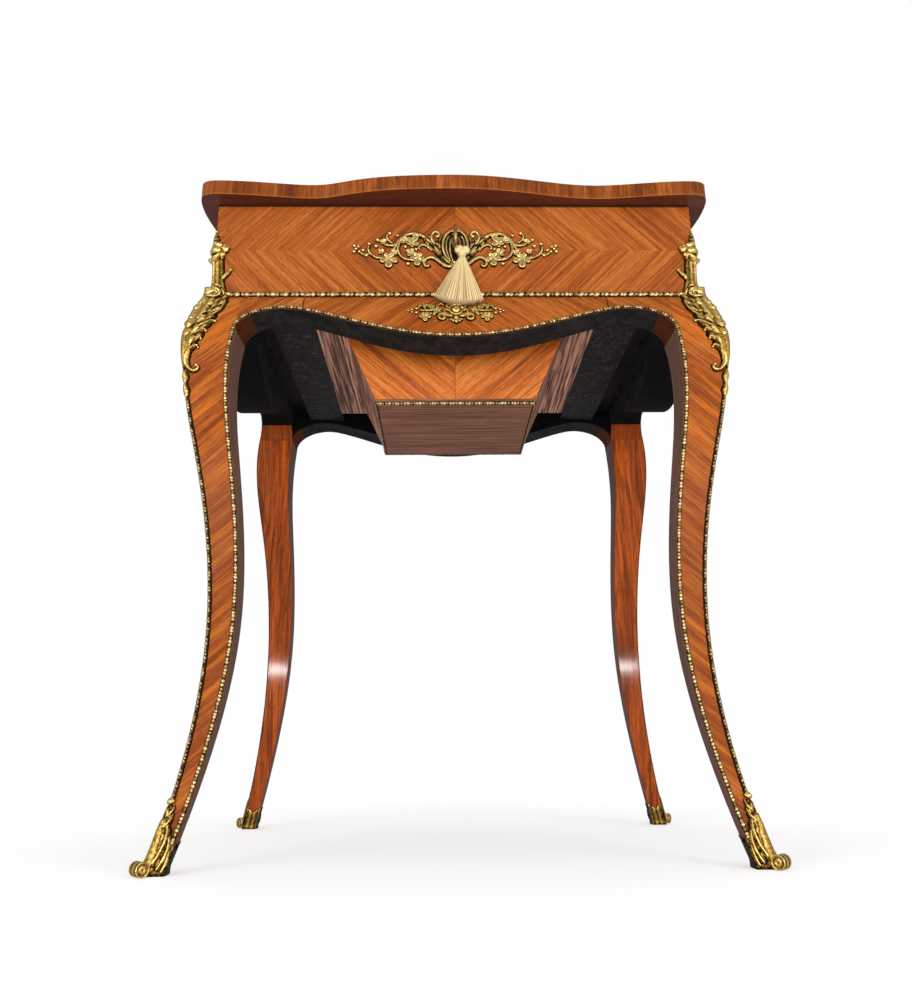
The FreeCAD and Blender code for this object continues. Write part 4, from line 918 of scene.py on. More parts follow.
class WORKTABLE_OT_mouldings(bpy.types.Operator):
    """Gilt leaf mouldings along the legs, the aprons, the friezes and the well"""

    bl_idname = "work_table.mouldings"
    bl_label = "Gilt mouldings"

    def execute(self, context):
        tints = context.scene.work_table_gilt
        gilding = gilt("moulding_gilt", 0.35)
        self.pitch = tints.bead_pitch
        for corner, side, end in CORNERS:
            casting = Casting()
            self.leg(casting, side, end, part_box(f"{corner}_leg_mouldings")[0][2])
            obj = casting.object(f"{corner}_edge_leaves", gilding)
            finish_piece(obj, "frame", "gilt", f"{corner}_leg_mouldings")
        fixed, moving = Casting(), Casting()
        self.aprons(fixed, moving)
        finish_piece(fixed.object("apron_edge_leaves", gilding), "frame", "gilt", "apron_mouldings")
        finish_piece(moving.object("well_apron_edge_leaves", gilding), "well", "gilt", "well_apron_moulding")
        casting = Casting()
        self.friezes(casting, tints.link_pitch)
        finish_piece(casting.object("frieze_links", gilding), "frame", "gilt", "frieze_mouldings")
        casting = Casting()
        self.well_foot(casting, *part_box("well_bottom_moulding"))
        finish_piece(casting.object("well_foot_leaves", gilding), "well", "gilt", "well_bottom_moulding")
        return {"FINISHED"}

    def beads(self, casting, path, normal, height=2.2 * MM):
        """Beads of the usual width along a path."""
        moulding(casting, path, normal, TRIM / 2, height, self.pitch, LEAF_SKEW)

    def leg(self, casting, side, end, low):
        """Beads along the two inner edges of a leg's outer faces, and a rounder row on its arris."""
        z = np.linspace(low, ARCH_SPRING, 200)
        front = side * (HALF_X + inner_at(z) + TRIM / 2), end * (HALF_Y + outer_at(z)), z
        flank = side * (HALF_X + outer_at(z)), end * (HALF_Y + inner_at(z) + TRIM / 2), z
        for line, ways in ((front, (0, end)), (flank, (side, 0))):
            path = even_path(np.stack(line, axis=-1), self.pitch / 6)
            self.beads(casting, path, face_normal(path, *ways))
        z = np.linspace(SABOT_TOP, FRIEZE_LOW - CORNER_MOUNT_DROP, 200)
        arris = side * (HALF_X + outer_at(z) - 0.7 * MM), end * (HALF_Y + outer_at(z) - 0.7 * MM), z
        path = even_path(np.stack(arris, axis=-1), self.pitch / 6)
        moulding(casting, path, face_normal(path, side, end), 2.9 * MM, 2.9 * MM, self.pitch, LEAF_SKEW, 1.0)

    def aprons(self, fixed, moving):
        """Beads under the aprons; the middle of the front one moves with the well."""
        place, z = apron_path(HALF_X, TRIM / 2)
        for end in (-1, 1):
            path = even_path(np.stack([place, end * (HALF_Y + outer_at(z)), z], axis=-1), self.pitch / 6)
            normal = face_normal(path, 0, end)
            parts = [(fixed, np.ones(len(path), dtype=bool))]
            if end < 0:
                x = path[:, 0]
                parts = [(fixed, x > SEAM_X + MM / 4), (moving, np.abs(x) < SEAM_X),
                         (fixed, x < -SEAM_X - MM / 4)]
            for casting, keep in parts:
                self.beads(casting, path[keep], normal[keep])
        place, z = apron_path(HALF_Y, TRIM / 2)
        for side in (-1, 1):
            path = even_path(np.stack([side * (HALF_X + outer_at(z)), place, z], axis=-1), self.pitch / 6)
            self.beads(fixed, path, face_normal(path, side, 0))

    def friezes(self, casting, pitch):
        """Wider links along the foot of the four friezes, between the corner mounts."""
        band = 3.75 * MM
        reach_x, reach_y = HALF_X - LINK_STOP, HALF_Y - LINK_STOP
        for side, end, reach in ((0, -1, reach_x), (0, 1, reach_x), (-1, 0, reach_y), (1, 0, reach_y)):
            t = np.linspace(-reach, reach, 50)
            line = np.stack([side * HALF_X + abs(end) * t, end * HALF_Y + abs(side) * t,
                             np.full_like(t, FRIEZE_LOW + band)], axis=-1)
            path = even_path(line, pitch / 9)
            moulding(casting, path, face_normal(path, side, end), band, 3 * MM, pitch, 1.3)

    def well_foot(self, casting, low, high):
        """Beads round the foot of the well, turned a little downwards."""
        z = (low[2] + high[2]) / 2
        proud = 2.0 * MM
        left, front, right, back = low[0] + proud, low[1] + proud, high[0] - proud, high[1] - proud
        corners = [(right, front, z), (left, front, z), (left, back, z), (right, back, z)]
        for index, ways in enumerate(((0, -1), (-1, 0), (0, 1), (1, 0))):
            path = even_path(np.linspace(corners[index], corners[(index + 1) % 4], 40), self.pitch / 6)
            out = np.tile(unit(np.array((*ways, -0.8))), (len(path), 1))
            self.beads(casting, path, out, proud)


class WORKTABLE_OT_corner_mounts(bpy.types.Operator):
    """Corner mounts: bud, flower, fluted strap, acanthus cartouche and scrolled tail round each corner"""

    bl_idname = "work_table.corner_mounts"
    bl_label = "Corner mounts"

    def execute(self, context):
        gilding = gilt("corner_gilt")
        for corner, side, end in CORNERS:
            casting = Casting()
            middle = Relief(casting, corner_panel(side, end))
            self.strap(middle)
            self.acanthus(middle)
            for half in (middle, middle.mirrored()):
                self.flower(half)
                self.hooks(half)
                self.lobes(half)
            obj = casting.object(f"{corner}_acanthus", gilding)
            finish_piece(obj, "frame", "gilt", f"{corner}_corner_mount")
        return {"FINISHED"}

    @staticmethod
    def strap(middle):
        """Bud and fluted strap on the corner of the case."""
        middle.bead((0, 84), 1.6, 0.8)
        middle.stroke([(0, 82), (0, 77), (0, 72), (0, 66)], [1.2, 2.8, 4.4, 3.4], [1.6, 2.8, 3.8, 3.4],
                      lobes=3, columns=16)
        middle.stroke([(0, 54), (0, 45), (0, 30), (0, 16), (0, 4)], [8.5, 10.0, 11.0, 11.5, 13.0],
                      [5.0, 2.6, 1.5, 1.6, 4.0], flutes=5, columns=60)

    @staticmethod
    def acanthus(middle):
        """Ridge of the cartouche, ribbed leaf and the small leaf links that hang from it along the arris."""
        middle.stroke([(0, 13), (0, 4), (0, -8), (0, -22), (0, -38)], [7.0, 10.0, 11.0, 10.0, 8.0],
                      [9.4, 9.6, 8.0, 9.0, 8.4], flutes=4, columns=40, tone=1.4)
        middle.stroke([(0, -20), (0, -32), (0, -46), (0, -60), (0, -74)], [17.0, 20.0, 15.5, 12.5, 7.0],
                      [7.4, 9.0, 9.0, 7.6, 5.4], lobes=4, flutes=5, columns=60, sweep=0.22, bite=0.3,
                      tone=1.4)
        middle.stroke([(0, -50), (0, -64), (0, -78), (0, -92)], [5.0, 5.0, 4.0, 3.0], [9.0, 8.2, 6.2, 3.6],
                      flutes=3, columns=24)
        for top, rise in ((9, 9.8), (-4, 9.2), (-13, 10.0), (-27, 9.4), (-36, 10.2), (-47, 9.2)):
            middle.stroke([(0, top), (0, top - 5), (0, top - 13)], [2.6, 4.6, 1.2], [rise - 1.4, rise, 7.0],
                          flutes=1, columns=16)
        for top in (-96, -111):
            middle.stroke([(0, top), (0, top - 7), (0, top - 15)], [1.6, 3.8, 1.6], [2.6, 3.8, 2.6],
                          flutes=1, columns=16)

    @staticmethod
    def flower(half):
        """Petals and the curl of the collar beside the middle line."""
        petals = (
            ((4.0, 66.0), 4.2, 1.6), ((11.0, 60.5), 4.6, 1.4), ((8.5, 53.5), 3.6, 2.0),
            ((3.0, 58.5), 4.6, 2.6),
        )
        for centre, radius, lift in petals:
            half.bead(centre, radius, lift, 0.9)
        half.leaf((9.5, 61.0), 0.3, 6.2, 3.0, lift=0.6)
        half.stroke([(1.0, 44), (3.5, 49.5), (6.8, 51.6), (8.6, 48.6), (6.4, 46.4)],
                    [2.4, 2.8, 2.6, 2.2, 1.4], [5.0, 8.2, 9.0, 7.4, 5.0])

    @staticmethod
    def hooks(half):
        """Short branch and curl that spring from the sides of the strap."""
        half.stroke([(9.5, 22), (12.5, 27), (15.8, 30.5), (18.6, 34)], [2.4, 3.2, 3.0, 1.6],
                    [3.0, 3.6, 3.6, 2.8], flutes=1)
        half.stroke([(10, 20), (12, 10), (14.5, 4.5), (18.2, 3)], [2.0, 2.6, 2.8, 2.2], [3.0, 3.8, 4.0, 3.4],
                    flutes=1)
        half.bead((18.4, 3.6), 2.6, 1.4)
        half.bead((18.8, 34.2), 1.8, 1.4)

    @staticmethod
    def lobes(half):
        """Shield, volute, leaf tips and the C-scroll at the foot of the leaf."""
        half.stroke([(5, 11), (8.5, 3), (11, -8), (11.5, -18), (8, -28)], [5.0, 8.5, 10.2, 9.0, 4.0],
                    [5.6, 6.6, 6.6, 6.0, 4.0], lobes=5, flutes=3, columns=32, sweep=0.2, bite=0.2, tone=1.4)
        half.stroke(volute((4.6, 1.5), 6.2, 1.9, -1.4), [2.4, 2.2, 1.9, 1.5], [3.0, 3.0, 2.6, 2.0],
                    lift=(6.4, 6.8, 7.4, 8.2))
        half.stroke([(2, 12), (7.5, 12), (12, 7), (14.5, -1)], [2.0, 2.6, 2.4, 1.2], [7.0, 7.2, 6.4, 5.0],
                    lobes=2, columns=16, lift=(1.0,))
        half.stroke([(17, -3), (20, -10), (20.6, -18), (17, -25), (11, -29)], [1.2, 2.0, 2.2, 2.2, 1.4],
                    [3.6, 4.4, 4.6, 4.4, 3.4], flutes=1)
        half.bead((7.5, -13), 3.8, 5.0)
        tips = (
            ([(6, -46), (12, -40), (18, -35.5), (21.5, -36)], 3.4),
            ([(5, -55), (9.5, -49.5), (14, -47), (15.6, -49)], 3.0),
            ([(4, -64), (8, -58.5), (11.5, -56.5), (12.6, -59)], 2.8),
            ([(3, -75), (6, -70), (10, -67.6), (11.6, -70)], 2.6),
        )
        for points, size in tips:
            half.stroke(points, [1.6, size, size, 1.4], [7.2, 7.0, 5.2, 3.4], flutes=2, columns=20)
            half.bead(points[-1], 0.55 * size, 1.6)
        half.stroke([(5.0, -70), (2.6, -76), (1.2, -84), (2.2, -91), (6.0, -96), (11.0, -95.8), (13.2, -92),
                     (11.0, -89.4)], [2.2, 2.6, 2.8, 2.8, 2.6, 2.4, 2.1, 1.6],
                    [5.0, 5.2, 4.8, 4.2, 3.8, 3.6, 3.2, 2.8], flutes=1)
        half.bead((11.0, -90.6), 2.0, 1.6)


class WORKTABLE_OT_sabots(bpy.types.Operator):
    """Sabots: a shoe round each foot, tongue leaves up its arris and a rolled toe"""

    bl_idname = "work_table.sabots"
    bl_label = "Sabots"

    def execute(self, context):
        gilding = gilt("sabot_gilt")
        for corner, side, end in CORNERS:
            casting = Casting()
            self.shoe(casting, side, end)
            self.toe(casting, side, end)
            self.tongues(Relief(casting, corner_panel(side, end)))
            obj = casting.object(f"{corner}_foot_leaves", gilding)
            finish_piece(obj, "frame", "gilt", f"{corner}_sabot")
        return {"FINISHED"}

    @staticmethod
    def tongues(middle):
        """Berry, broad leaf and ribbed leaf up the arris, with five pairs of tongues beside them."""
        floor = -FRIEZE_LOW / MM
        middle.bead((0, floor + 63), 3.2, 1.6)
        middle.stroke([(0, floor + z) for z in (61, 50, 38, 24, 10, 2)],
                      [2.6, 5.5, 8.5, 12.0, 15.0, 15.5], [3.2, 3.8, 4.2, 3.8, 3.4, 2.6], lobes=6,
                      flutes=7, columns=56, sweep=-0.16, bite=0.34)
        middle.stroke([(0, floor + z) for z in (50, 40, 28, 16, 6)], [1.4, 3.0, 4.4, 5.4, 6.2],
                      [4.4, 5.6, 5.6, 5.8, 7.6], flutes=5, columns=40)
        pairs = (
            ([(2.0, 8), (5.6, 20), (6.4, 33), (2.8, 46)], [2.4, 3.2, 3.0, 0.9], [5.0, 5.4, 5.0, 3.0]),
            ([(8.0, 4), (11.0, 14), (11.4, 24), (7.6, 36)], [2.6, 3.2, 2.8, 0.9], [4.0, 4.4, 3.8, 2.4]),
            ([(13.0, 2), (14.4, 9), (14.2, 17), (12.0, 26)], [2.2, 2.6, 2.2, 0.8], [3.0, 3.2, 2.8, 2.0]),
            ([(0.8, 40), (3.8, 46), (5.4, 53)], [1.2, 2.4, 1.0], [4.8, 4.4, 3.0]),
            ([(0.6, 49), (3.2, 54), (4.0, 60)], [1.0, 2.0, 0.8], [4.0, 3.8, 2.6]),
        )
        for half in (middle, middle.mirrored()):
            for points, widths, heights in pairs:
                half.stroke([(s, floor + z) for s, z in points], widths, heights, flutes=2, columns=16)

    @staticmethod
    def shoe(casting, side, end):
        """Shoe: a rounded square carried up the foot, with an upper edge that dips on each face."""
        turn = circle(64)
        reach = np.maximum(np.abs(np.cos(turn)), np.abs(np.sin(turn)))
        corner = np.abs(np.sin(2 * turn))
        a = np.cos(turn) / reach * (1 - 0.05 * corner ** 6)
        b = np.sin(turn) / reach * (1 - 0.05 * corner ** 6)
        share = np.linspace(0.0, 1.0, 9)[:, None]
        z = share * (20 * MM + 7 * MM * corner)
        z[0] = 0.0
        outer, inner = outer_at(np.maximum(z, 1e-4)), inner_at(np.maximum(z, 1e-4))
        middle = (outer + inner) / 2
        half = (outer - inner) / 2 + MM * (1.0 + 0.8 * (share < 0.2) + 0.5 * (share > 0.9))
        points = np.stack([side * (HALF_X + middle + half * a), end * (HALF_Y + middle + half * b), z],
                          axis=-1)
        # Crest: the faces that look in across the table are kept dark as painted shade; the face that looks
        # in along its depth has three tongues drawn in it; the faces that look out are mid gold; all is
        # lighter at the lip
        tongue = np.abs(np.cos(3.0 * math.pi * (a + 1) / 2)) ** 0.8
        looks_out = np.maximum(a, b) > 0.9
        crest = np.where(looks_out, 0.45, np.where(b < -0.85, 0.15 + 0.8 * tongue, 0.1))
        casting.rings(points, crest * (0.75 + 0.25 * (share > 0.85)))

    @staticmethod
    def toe(casting, side, end):
        """Rolled toe: a roller across the diagonal of the foot, hollowed twice, with rings on its ends."""
        radius, width = 6.6 * MM, 6.4 * MM
        turn = circle(28)
        rim = np.linspace(0.1, 1.0, 9)
        body = np.linspace(-1.0, 1.0, 21)[1:-1]
        waves = np.cos(rim * 9.4)
        share = np.concatenate([-1.06 + 0.06 * waves, body, (1.06 - 0.06 * waves)[::-1]])
        size = np.concatenate([rim, 1.0 - 0.14 * np.exp(-((np.abs(body) - 0.5) / 0.12) ** 2), rim[::-1]])
        rings = 0.7 - 0.3 * waves
        # Crest: darker in the hollows of the roller and in the grooves of the end rings, painted shade;
        # lighter on the raised rings
        crest = np.concatenate([rings, 0.95 - np.exp(-((np.abs(body) - 0.5) / 0.18) ** 2), rings[::-1]])
        out = radius * size[:, None] * np.cos(turn) / math.sqrt(2.0)
        across = (width * share / math.sqrt(2.0))[:, None]
        centre = outer_at(4 * MM) + 4.4 * MM
        points = np.stack([side * (HALF_X + centre + out + across), end * (HALF_Y + centre + out - across),
                           radius + 0.1 * MM + radius * size[:, None] * np.sin(turn)], axis=-1)
        casting.rings(points, crest[:, None] + 0.0 * turn)


class WORKTABLE_OT_escutcheon(bpy.types.Operator):
    """Escutcheon: a cartouche round the keyhole with ivy scrolls to either side"""

    bl_idname = "work_table.escutcheon"
    bl_label = "Escutcheon"

    def execute(self, context):
        casting = Casting()
        front = Relief(casting, frieze_panel)
        for half in (front, front.mirrored()):
            self.cartouche(half)
            self.scrolls(half)
            self.ivy(half)
        front.leaf((0, -24), -1.57, 6.4, 3.4)
        obj = casting.object("ivy_escutcheon", gilt("escutcheon_gilt", 0.15))
        finish_piece(obj, "frame", "gilt", "keyhole_escutcheon")
        return {"FINISHED"}

    @staticmethod
    def cartouche(half):
        """Rim, darker plate with two leaves on it beside the keyhole, outer leaf and ear curl; the plate is
        dark with dirt and painted shade.
        """
        half.stroke([(0, 19), (6, 18.2), (11.5, 12.5), (14.0, 2), (12.4, -10), (8, -18), (3, -22.5)],
                    [1.7, 2.4, 2.6, 2.6, 2.4, 2.0, 1.6], [3.0, 3.4, 3.6, 3.6, 3.4, 3.0, 2.6], flutes=1)
        half.stroke([(4.0, 16), (6.4, 6), (6.8, -6), (3.6, -22)], [3.4, 6.4, 6.4, 3.6], [0.7], columns=16,
                    tone=0.3)
        half.stroke([(2.2, -21), (5.2, -11), (6.0, -1), (4.8, 7), (2.4, 10.5)], [1.0, 1.7, 2.0, 1.7, 1.1],
                    [1.6, 2.4, 2.6, 2.2, 1.4], flutes=1)
        half.stroke([(5.4, -19), (9.0, -10), (10.2, 0), (9.4, 8), (6.2, 14.4)], [0.9, 1.5, 1.8, 1.6, 1.0],
                    [1.6, 2.6, 2.8, 2.4, 1.6], flutes=1)
        half.stroke([(14.5, -15), (17.6, -4), (18.0, 6), (15.6, 13)], [1.2, 2.4, 2.2, 0.9],
                    [2.4, 3.2, 3.0, 2.0], lobes=3, flutes=1)
        half.stroke([(22.5, 0), (26.4, 7), (27, 13.5), (23.6, 17.8), (19.4, 16.8), (18.2, 12.6), (20, 10.4)],
                    [1.8, 2.3, 2.2, 2.1, 2.0, 1.8, 1.6], [2.8, 3.4, 3.4, 3.2, 3.0, 2.8, 2.6])
        half.bead((20.0, 11.4), 2.4, 1.6)

    @staticmethod
    def scrolls(half):
        """Acanthus sheath, great S-scroll, lower C-scroll and the tendrils that carry the berries."""
        sheaths = (
            ([(4, -25), (12, -18), (19.5, -8), (25.2, 0.5), (31, 7), (36, 11)],
             [1.6, 3.4, 4.4, 4.4, 3.4, 1.4], [2.6, 3.6, 4.0, 4.0, 3.6, 2.6]),
            ([(24.5, -8), (29.6, -1), (34, 6), (35.6, 13)], [1.2, 2.8, 2.8, 0.9], [2.4, 3.4, 3.2, 2.0]),
            ([(18, -2), (23, 5), (29.5, 11), (31, 15.5)], [1.2, 2.4, 2.2, 0.8], [2.4, 3.0, 2.8, 1.8]),
        )
        for points, widths, heights in sheaths:
            half.stroke(points, widths, heights, lobes=3, flutes=2, columns=18)
        tendrils = (
            ([(33, 8.6), (38, 12.8), (45, 15.2), (53.5, 14.8), (60.5, 9.8), (64.6, 2), (65.2, -6.5),
              (62, -14), (56, -18), (49, -18.4), (44.6, -15)],
             [2.5, 2.7, 2.6, 2.4, 2.2, 2.0, 1.9, 1.8, 1.7, 1.5, 1.1], 3.2),
            ([(2, -27.5), (9, -26.8), (15.5, -23), (21.5, -18), (27.7, -15.2), (33.4, -17.4), (35.6, -22.6),
              (33.2, -27), (29.6, -25.6), (30, -22.6)],
             [1.9, 2.5, 2.6, 2.5, 2.4, 2.2, 2.1, 2.0, 1.8, 1.6], 3.2),
            ([(27, -7.5), (32.5, -0.5), (38, 1), (41.6, -2), (40.6, -6)], [1.4, 1.8, 1.8, 1.6, 1.4], 2.6),
            ([(73.5, -12), (69.5, -3), (65, 6.5), (60, 12)], [1.4, 1.7, 1.7, 1.2], 2.4),
            ([(64.8, -7), (71, -12.4), (80, -15.4), (90, -15.2), (97, -10), (99.6, -3), (97.6, 1.6)],
             [1.6, 1.8, 1.9, 1.9, 1.7, 1.6, 1.4], 2.6),
            ([(62.5, 6.5), (69.5, 0.8), (77, 0.4), (83.8, 4), (88.6, 6.6)], [1.5, 1.8, 1.8, 1.6, 1.3], 2.4),
            ([(72, 3), (77, 8), (78.5, 13), (75.6, 15.4)], [1.3, 1.6, 1.6, 1.4], 2.2),
            ([(97, -9), (103, -12), (108, -9), (112, -6)], [1.4, 1.5, 1.4, 1.2], 2.0),
        )
        for points, widths, height in tendrils:
            half.stroke(points, [1.2 * width for width in widths], [height], flutes=1)

    @staticmethod
    def ivy(half):
        """Ivy leaves, buds and berries."""
        leaves = (
            ((50, 3), 2.2, 9.6), ((57.5, 6), 0.5, 6.0), ((43, -15.5), -1.5, 10.6), ((50, -10), 0.6, 6.8),
            ((75.8, -16.6), -1.55, 12.0), ((69.6, -10.5), 1.2, 5.6), ((45, 9.6), 1.0, 5.4),
            ((84, -9), 0.7, 4.6), ((82, 4), 0.4, 4.4),
        )
        for centre, heading, size in leaves:
            half.leaf(centre, heading, size, 3.6)
        berries = (
            ((54, -24), 2.5), ((88.8, 7), 2.4), ((90.5, -1.2), 2.6), ((75.2, 15.6), 2.3),
            ((79.5, 6.8), 2.1), ((98.4, 1.8), 2.3), ((101.4, -13.2), 2.3), ((105.2, -6.4), 2.0),
            ((109.5, -8.2), 2.0), ((113.2, -4.6), 2.1), ((115.2, -0.8), 2.4), ((115.4, -8.2), 2.2),
            ((110.6, -1.8), 1.9), ((66, 12.8), 2.0), ((57, -1.8), 2.2), ((44.6, -5.2), 2.0),
        )
        for centre, radius in berries:
            half.bead(centre, radius, 1.4)


class WORKTABLE_OT_apron_mount(bpy.types.Operator):
    """Apron mount: a round boss in a scrolled frame with ivy and berries"""

    bl_idname = "work_table.apron_mount"
    bl_label = "Apron mount"

    def execute(self, context):
        casting = Casting()
        front = Relief(casting, apron_panel)
        front.bead((0, 2.4), 5.6, 0.6, 0.7)
        front.stroke(volute((0, 2.4), 7.2, 0.0, 1.0, 0.999), [1.6], [3.4])
        front.stroke([(-7, -10.6), (-3, -13.2), (0, -14.2), (3, -13.2), (7, -10.6)],
                     [1.8, 2.8, 3.2, 2.8, 1.8], [2.4, 3.2, 3.6, 3.2, 2.4], lobes=5)
        front.bead((0, -10.2), 3.0, 1.8)
        scrolls = (
            ([(0, 12.2), (4.5, 11.6), (8.6, 10.2), (10.8, 7.6), (9.2, 5.4), (7.8, 7.2)],
             [2.3, 2.3, 2.1, 1.9, 1.7, 1.3], 3.2),
            ([(5.5, -5.6), (9.5, -5), (12.8, -1.6), (11.6, 2.6), (8.8, 1.8), (9, -0.6)],
             [1.8, 2.1, 2.1, 1.9, 1.7, 1.3], 3.0),
            ([(2.5, -7), (8, -6.6), (12.5, -4.4)] + volute((15.2, -8.2), 4.8, 1.9, -1.25, 0.3),
             [1.9, 2.2, 2.2, 2.1, 1.9, 1.7, 1.4], 3.2),
            ([(21.5, 6.0), (19.6, 10.4), (15.8, 11.4), (13.6, 8.4)], [1.6, 2.2, 2.2, 1.4], 2.8),
            ([(24.5, 1.4), (32, 1.2), (41, 1.2)], [1.7, 1.6, 1.3], 2.6),
            ([(27.5, 3), (29, 7.6), (33, 8.8), (34.6, 6.2)], [1.6, 2.2, 2.2, 1.4], 2.8),
            ([(33.5, 3), (35.8, 8.8), (35.4, 12.2)], [1.8, 2.8, 1.3], 3.0),
            ([(42, 2.8), (40.8, 7.4), (37.6, 8.4)], [1.6, 2.2, 1.4], 2.8),
        )
        berries = (
            ((24.2, -4.4), 2.0), ((43.8, 3.8), 2.0), ((43.8, -2.4), 2.0), ((48.8, 2.4), 1.7),
            ((48.9, -1.4), 1.7), ((52.4, 0.6), 1.6), ((28, -3.4), 1.6), ((7.4, 5.0), 1.5),
        )
        for half in (front, front.mirrored()):
            for points, widths, height in scrolls:
                half.stroke(points, [1.15 * width for width in widths], [height], flutes=1)
            half.leaf((20.2, 1.0), 0.3, 6.6, 3.4)
            half.leaf((34.2, -6.2), -1.57, 8.0, 3.6)
            half.leaf((27.4, 5.6), 1.4, 4.4, 3.0)
            for centre, radius in berries:
                half.bead(centre, radius, 1.3)
        obj = casting.object("ivy_apron_mount", gilt("apron_mount_gilt"))
        finish_piece(obj, "well", "gilt", "apron_mount")
        return {"FINISHED"}


class WORKTABLE_OT_tassel(bpy.types.Operator):
    """Tassel on the key: a looped cord, a knotted head and a fan of silk threads"""

    bl_idname = "work_table.tassel"
    bl_label = "Tassel"

    def execute(self, context):
        thread = silk("tassel_silk")
        cord = self.loop(thread)
        head = self.knot(thread)
        skirt = self.fringe(thread, context.scene.work_table_tassel.drop)
        context.view_layer.update()
        return {"FINISHED"}

    @staticmethod
    def loop(thread):
        """Cord from the knot up round the key's shank and back, as a smooth curve."""
        curve = bpy.data.curves.new("tassel_loop", "CURVE")
        curve.dimensions = "3D"
        curve.bevel_depth = CORD_RADIUS
        curve.bevel_resolution = 3
        curve.resolution_u = 12
        route = np.array([(4, 636), (0.6, 646), (-3.9, 655.5), (-4, 660.6), (0, 661.2), (4, 660.6),
                          (4.2, 656.5), (6.2, 646.5), (8, 636)]) * MM
        spline = curve.splines.new("NURBS")
        spline.points.add(len(route) - 1)
        for point, (x, z) in zip(spline.points, route):
            point.co = (x, TASSEL_Y, z, 1.0)
        spline.order_u = 3
        spline.use_endpoint_u = True
        cord = bpy.data.objects.new("tassel_loop", curve)
        bpy.context.scene.collection.objects.link(cord)
        curve.materials.append(thread)
        finish_piece(cord, "tassel", "silk", "tassel_cord")
        return cord

    @staticmethod
    def knot(thread):
        """Knot of three turns and the binding under it."""
        casting = Casting()
        knot = Relief(casting, tassel_panel)
        knot.bead((4.2, -11.6), 5.6, 0.0, 0.8)
        knot.bead((11.4, -12.4), 5.4, 0.0, 0.8)
        knot.bead((7.8, -15.0), 5.0, 0.6, 0.9)
        knot.stroke([(3.2, -19.2), (7.6, -20.2), (12, -19.2)], [1.5, 1.7, 1.5], [4.6, 5.4, 4.6])
        head = casting.object("tassel_knot", thread)
        finish_piece(head, "tassel", "silk", "tassel_head")
        return head

    @staticmethod
    def fringe(thread, drop):
        """Fan of threads: a flattened cone whose surface follows |sin| across it, with a ragged hem.
        """
        casting = Casting()
        turn = circle(480)
        share = np.linspace(0.0, 1.0, 16)[:, None]
        across = np.cos(turn)
        lean = math.radians(-5.0) + math.radians(28.5) * across
        strand = np.abs(np.sin(30.0 * across + 0.9 * np.sin(9.0 * across)))
        clump = 0.5 + 0.5 * np.sin(11.0 * across + 2.0 * np.sin(5.0 * across))
        ragged = 0.3 * np.sin(31.0 * across) + 0.25 * np.sin(77.0 * across)
        spread = share * (drop + MM * ragged * share)
        a = 7.6 * MM + 3.4 * MM * across * (1 - share) + spread * np.sin(lean)
        b = -21.0 * MM - spread * np.cos(lean)
        depth = (3.4 * MM + 1.4 * MM * share) * np.sin(turn)
        h = depth + np.sign(np.sin(turn)) * 0.55 * MM * strand * np.minimum(share * 4, 1.0)
        # Painted light and shade: dark lines between the threads and clumps, lighter towards the binding, and
        # a set tone on the hem
        parting = np.clip(np.abs(np.sin(21.0 * across + 2.2 * np.sin(5.0 * across))) * 2.2, 0.0, 1.0)
        lit = strand ** 1.2 * (0.4 + 0.75 * clump) * (0.2 + 0.8 * parting)
        crest = np.clip(0.1 + 1.1 * lit + 0.4 * (1 - share) ** 2, 0.0, 1.0)
        crest[-1] = 0.4
        casting.rings(tassel_panel(a, b, h), crest)
        skirt = casting.object("tassel_fringe", thread)
        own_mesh(skirt)
        finish_piece(skirt, "tassel", "silk", "tassel_skirt")
        return skirt


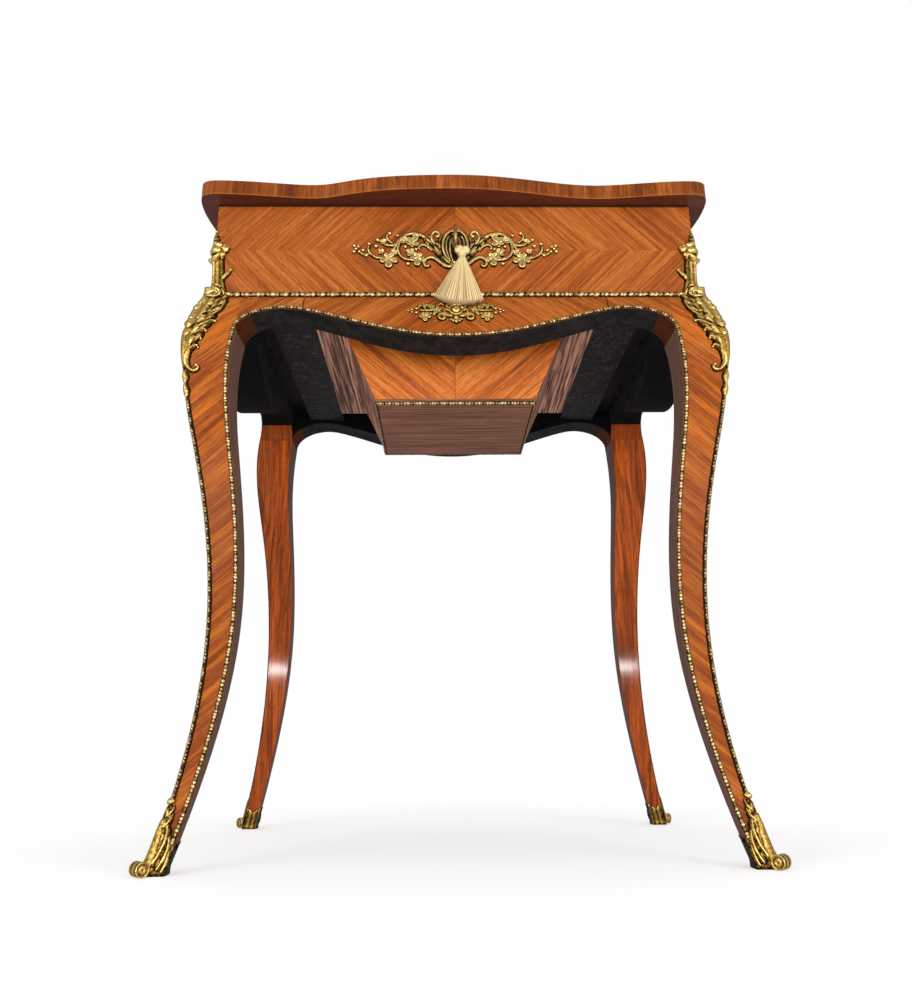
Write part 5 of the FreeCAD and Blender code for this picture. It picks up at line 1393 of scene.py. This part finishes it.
class WORKTABLE_OT_stage(bpy.types.Operator):
    """Pale floor, white surroundings and soft lights"""

    bl_idname = "work_table.stage"
    bl_label = "Stage"

    def execute(self, context):
        scene = context.scene
        stage = scene.work_table_stage
        scene.view_settings.view_transform = "Standard"
        sky = NodeSketch("surroundings", "worlds", "ShaderNodeOutputWorld")
        seen = sky.add("ShaderNodeBackground", [("Color", (1.0, 1.0, 1.0, 1.0))])
        lit = sky.add("ShaderNodeBackground", [("Color", (1.0, 0.99, 0.98, 1.0)), ("Strength", stage.fill)])
        camera_ray = sky.add("ShaderNodeLightPath", output="Is Camera Ray")
        scene.world = sky.close(sky.add("ShaderNodeMixShader", enumerate((camera_ray, lit, seen))))
        floor = self.floor(stage.floor)
        lights = [self.light(name, place, size, stage.key_power * share)
                  for name, place, size, share in LIGHTS]
        return {"FINISHED"}

    @staticmethod
    def floor(tint):
        """Square floor that takes a soft shadow near the table and fades to white farther off."""
        mesh = bpy.data.meshes.new("floor")
        reach = 6.0
        mesh.from_pydata([(-reach, -reach, 0), (reach, -reach, 0), (reach, reach, 0), (-reach, reach, 0)], [],
                         [(0, 1, 2, 3)])
        floor = bpy.data.objects.new("floor", mesh)
        bpy.context.scene.collection.objects.link(floor)
        sketch = NodeSketch("floor_paint")
        place = sketch.place()[0]
        cloud = sketch.noise(place, 3.0, 2.0)
        pale = sketch.mix(cloud, scaled(tint, 0.99), tint)
        diffuse = sketch.add("ShaderNodeBsdfDiffuse", [("Color", pale)])
        camera_ray = sketch.add("ShaderNodeLightPath", output="Is Camera Ray")
        glow = sketch.add("ShaderNodeEmission", [("Strength", camera_ray * 0.45)])
        total = sketch.add("ShaderNodeAddShader", enumerate((diffuse, glow)))
        white = sketch.add("ShaderNodeEmission")
        x, y = sketch.parts(place)[:2]
        away = sketch.math("SQRT", x * x + y * y)
        fade = sketch.between(away, 0.4, 0.75) * camera_ray
        blend = sketch.add("ShaderNodeMixShader", enumerate((fade, total, white)))
        mesh.materials.append(sketch.close(blend))
        return floor

    @staticmethod
    def light(name, place, size, power):
        """Square lamp that looks at the middle of the table."""
        data = bpy.data.lights.new(name, "AREA")
        data.size = size
        data.energy = power
        light = bpy.data.objects.new(name, data)
        bpy.context.scene.collection.objects.link(light)
        light.location = place
        aim = Vector(place) - Vector((0.0, 0.0, 0.45))
        light.rotation_euler = aim.to_track_quat("Z", "Y").to_euler()
        return light


class WORKTABLE_PT_panel(bpy.types.Panel):
    """Sidebar panel with the steps that dress the table"""

    bl_label = "Work Table"
    bl_idname = "WORKTABLE_PT_panel"
    bl_space_type = "VIEW_3D"
    bl_region_type = "UI"
    bl_category = "Work Table"

    def draw(self, context):
        """Buttons of the steps, then a box for each group of properties."""
        for operator in OPERATORS:
            self.layout.operator(operator.bl_idname)
        for group in GROUPS:
            holder = getattr(context.scene, group)
            box = self.layout.box()
            for name in holder.bl_rna.properties.keys():
                if name not in ("rna_type", "name"):
                    box.prop(holder, name)


GROUPS = {
    "work_table_wood": WorkTableWood,
    "work_table_gilt": WorkTableGilt,
    "work_table_tassel": WorkTableTassel,
    "work_table_stage": WorkTableStage,
}
OPERATORS = (
    WORKTABLE_OT_camera, WORKTABLE_OT_tassel, WORKTABLE_OT_veneer, WORKTABLE_OT_ironwork,
    WORKTABLE_OT_mouldings, WORKTABLE_OT_corner_mounts, WORKTABLE_OT_sabots, WORKTABLE_OT_escutcheon,
    WORKTABLE_OT_apron_mount, WORKTABLE_OT_stage,
)


def register():
    """Register the property groups, the operators and the panel."""
    for group in GROUPS.values():
        bpy.utils.register_class(group)
    for name, group in GROUPS.items():
        setattr(bpy.types.Scene, name, PointerProperty(type=group))
    for operator in OPERATORS:
        bpy.utils.register_class(operator)
    bpy.utils.register_class(WORKTABLE_PT_panel)


def unregister():
    """Take everything registered away again, in reverse."""
    bpy.utils.unregister_class(WORKTABLE_PT_panel)
    for operator in reversed(OPERATORS):
        bpy.utils.unregister_class(operator)
    for name in GROUPS:
        delattr(bpy.types.Scene, name)
    for group in reversed(GROUPS.values()):
        bpy.utils.unregister_class(group)


def main():
    """Dress the table step by step."""
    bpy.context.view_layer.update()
    register()
    for operator in OPERATORS:
        family, name = operator.bl_idname.split(".")
        getattr(getattr(bpy.ops, family), name)()


if __name__ == "__main__":
    main()
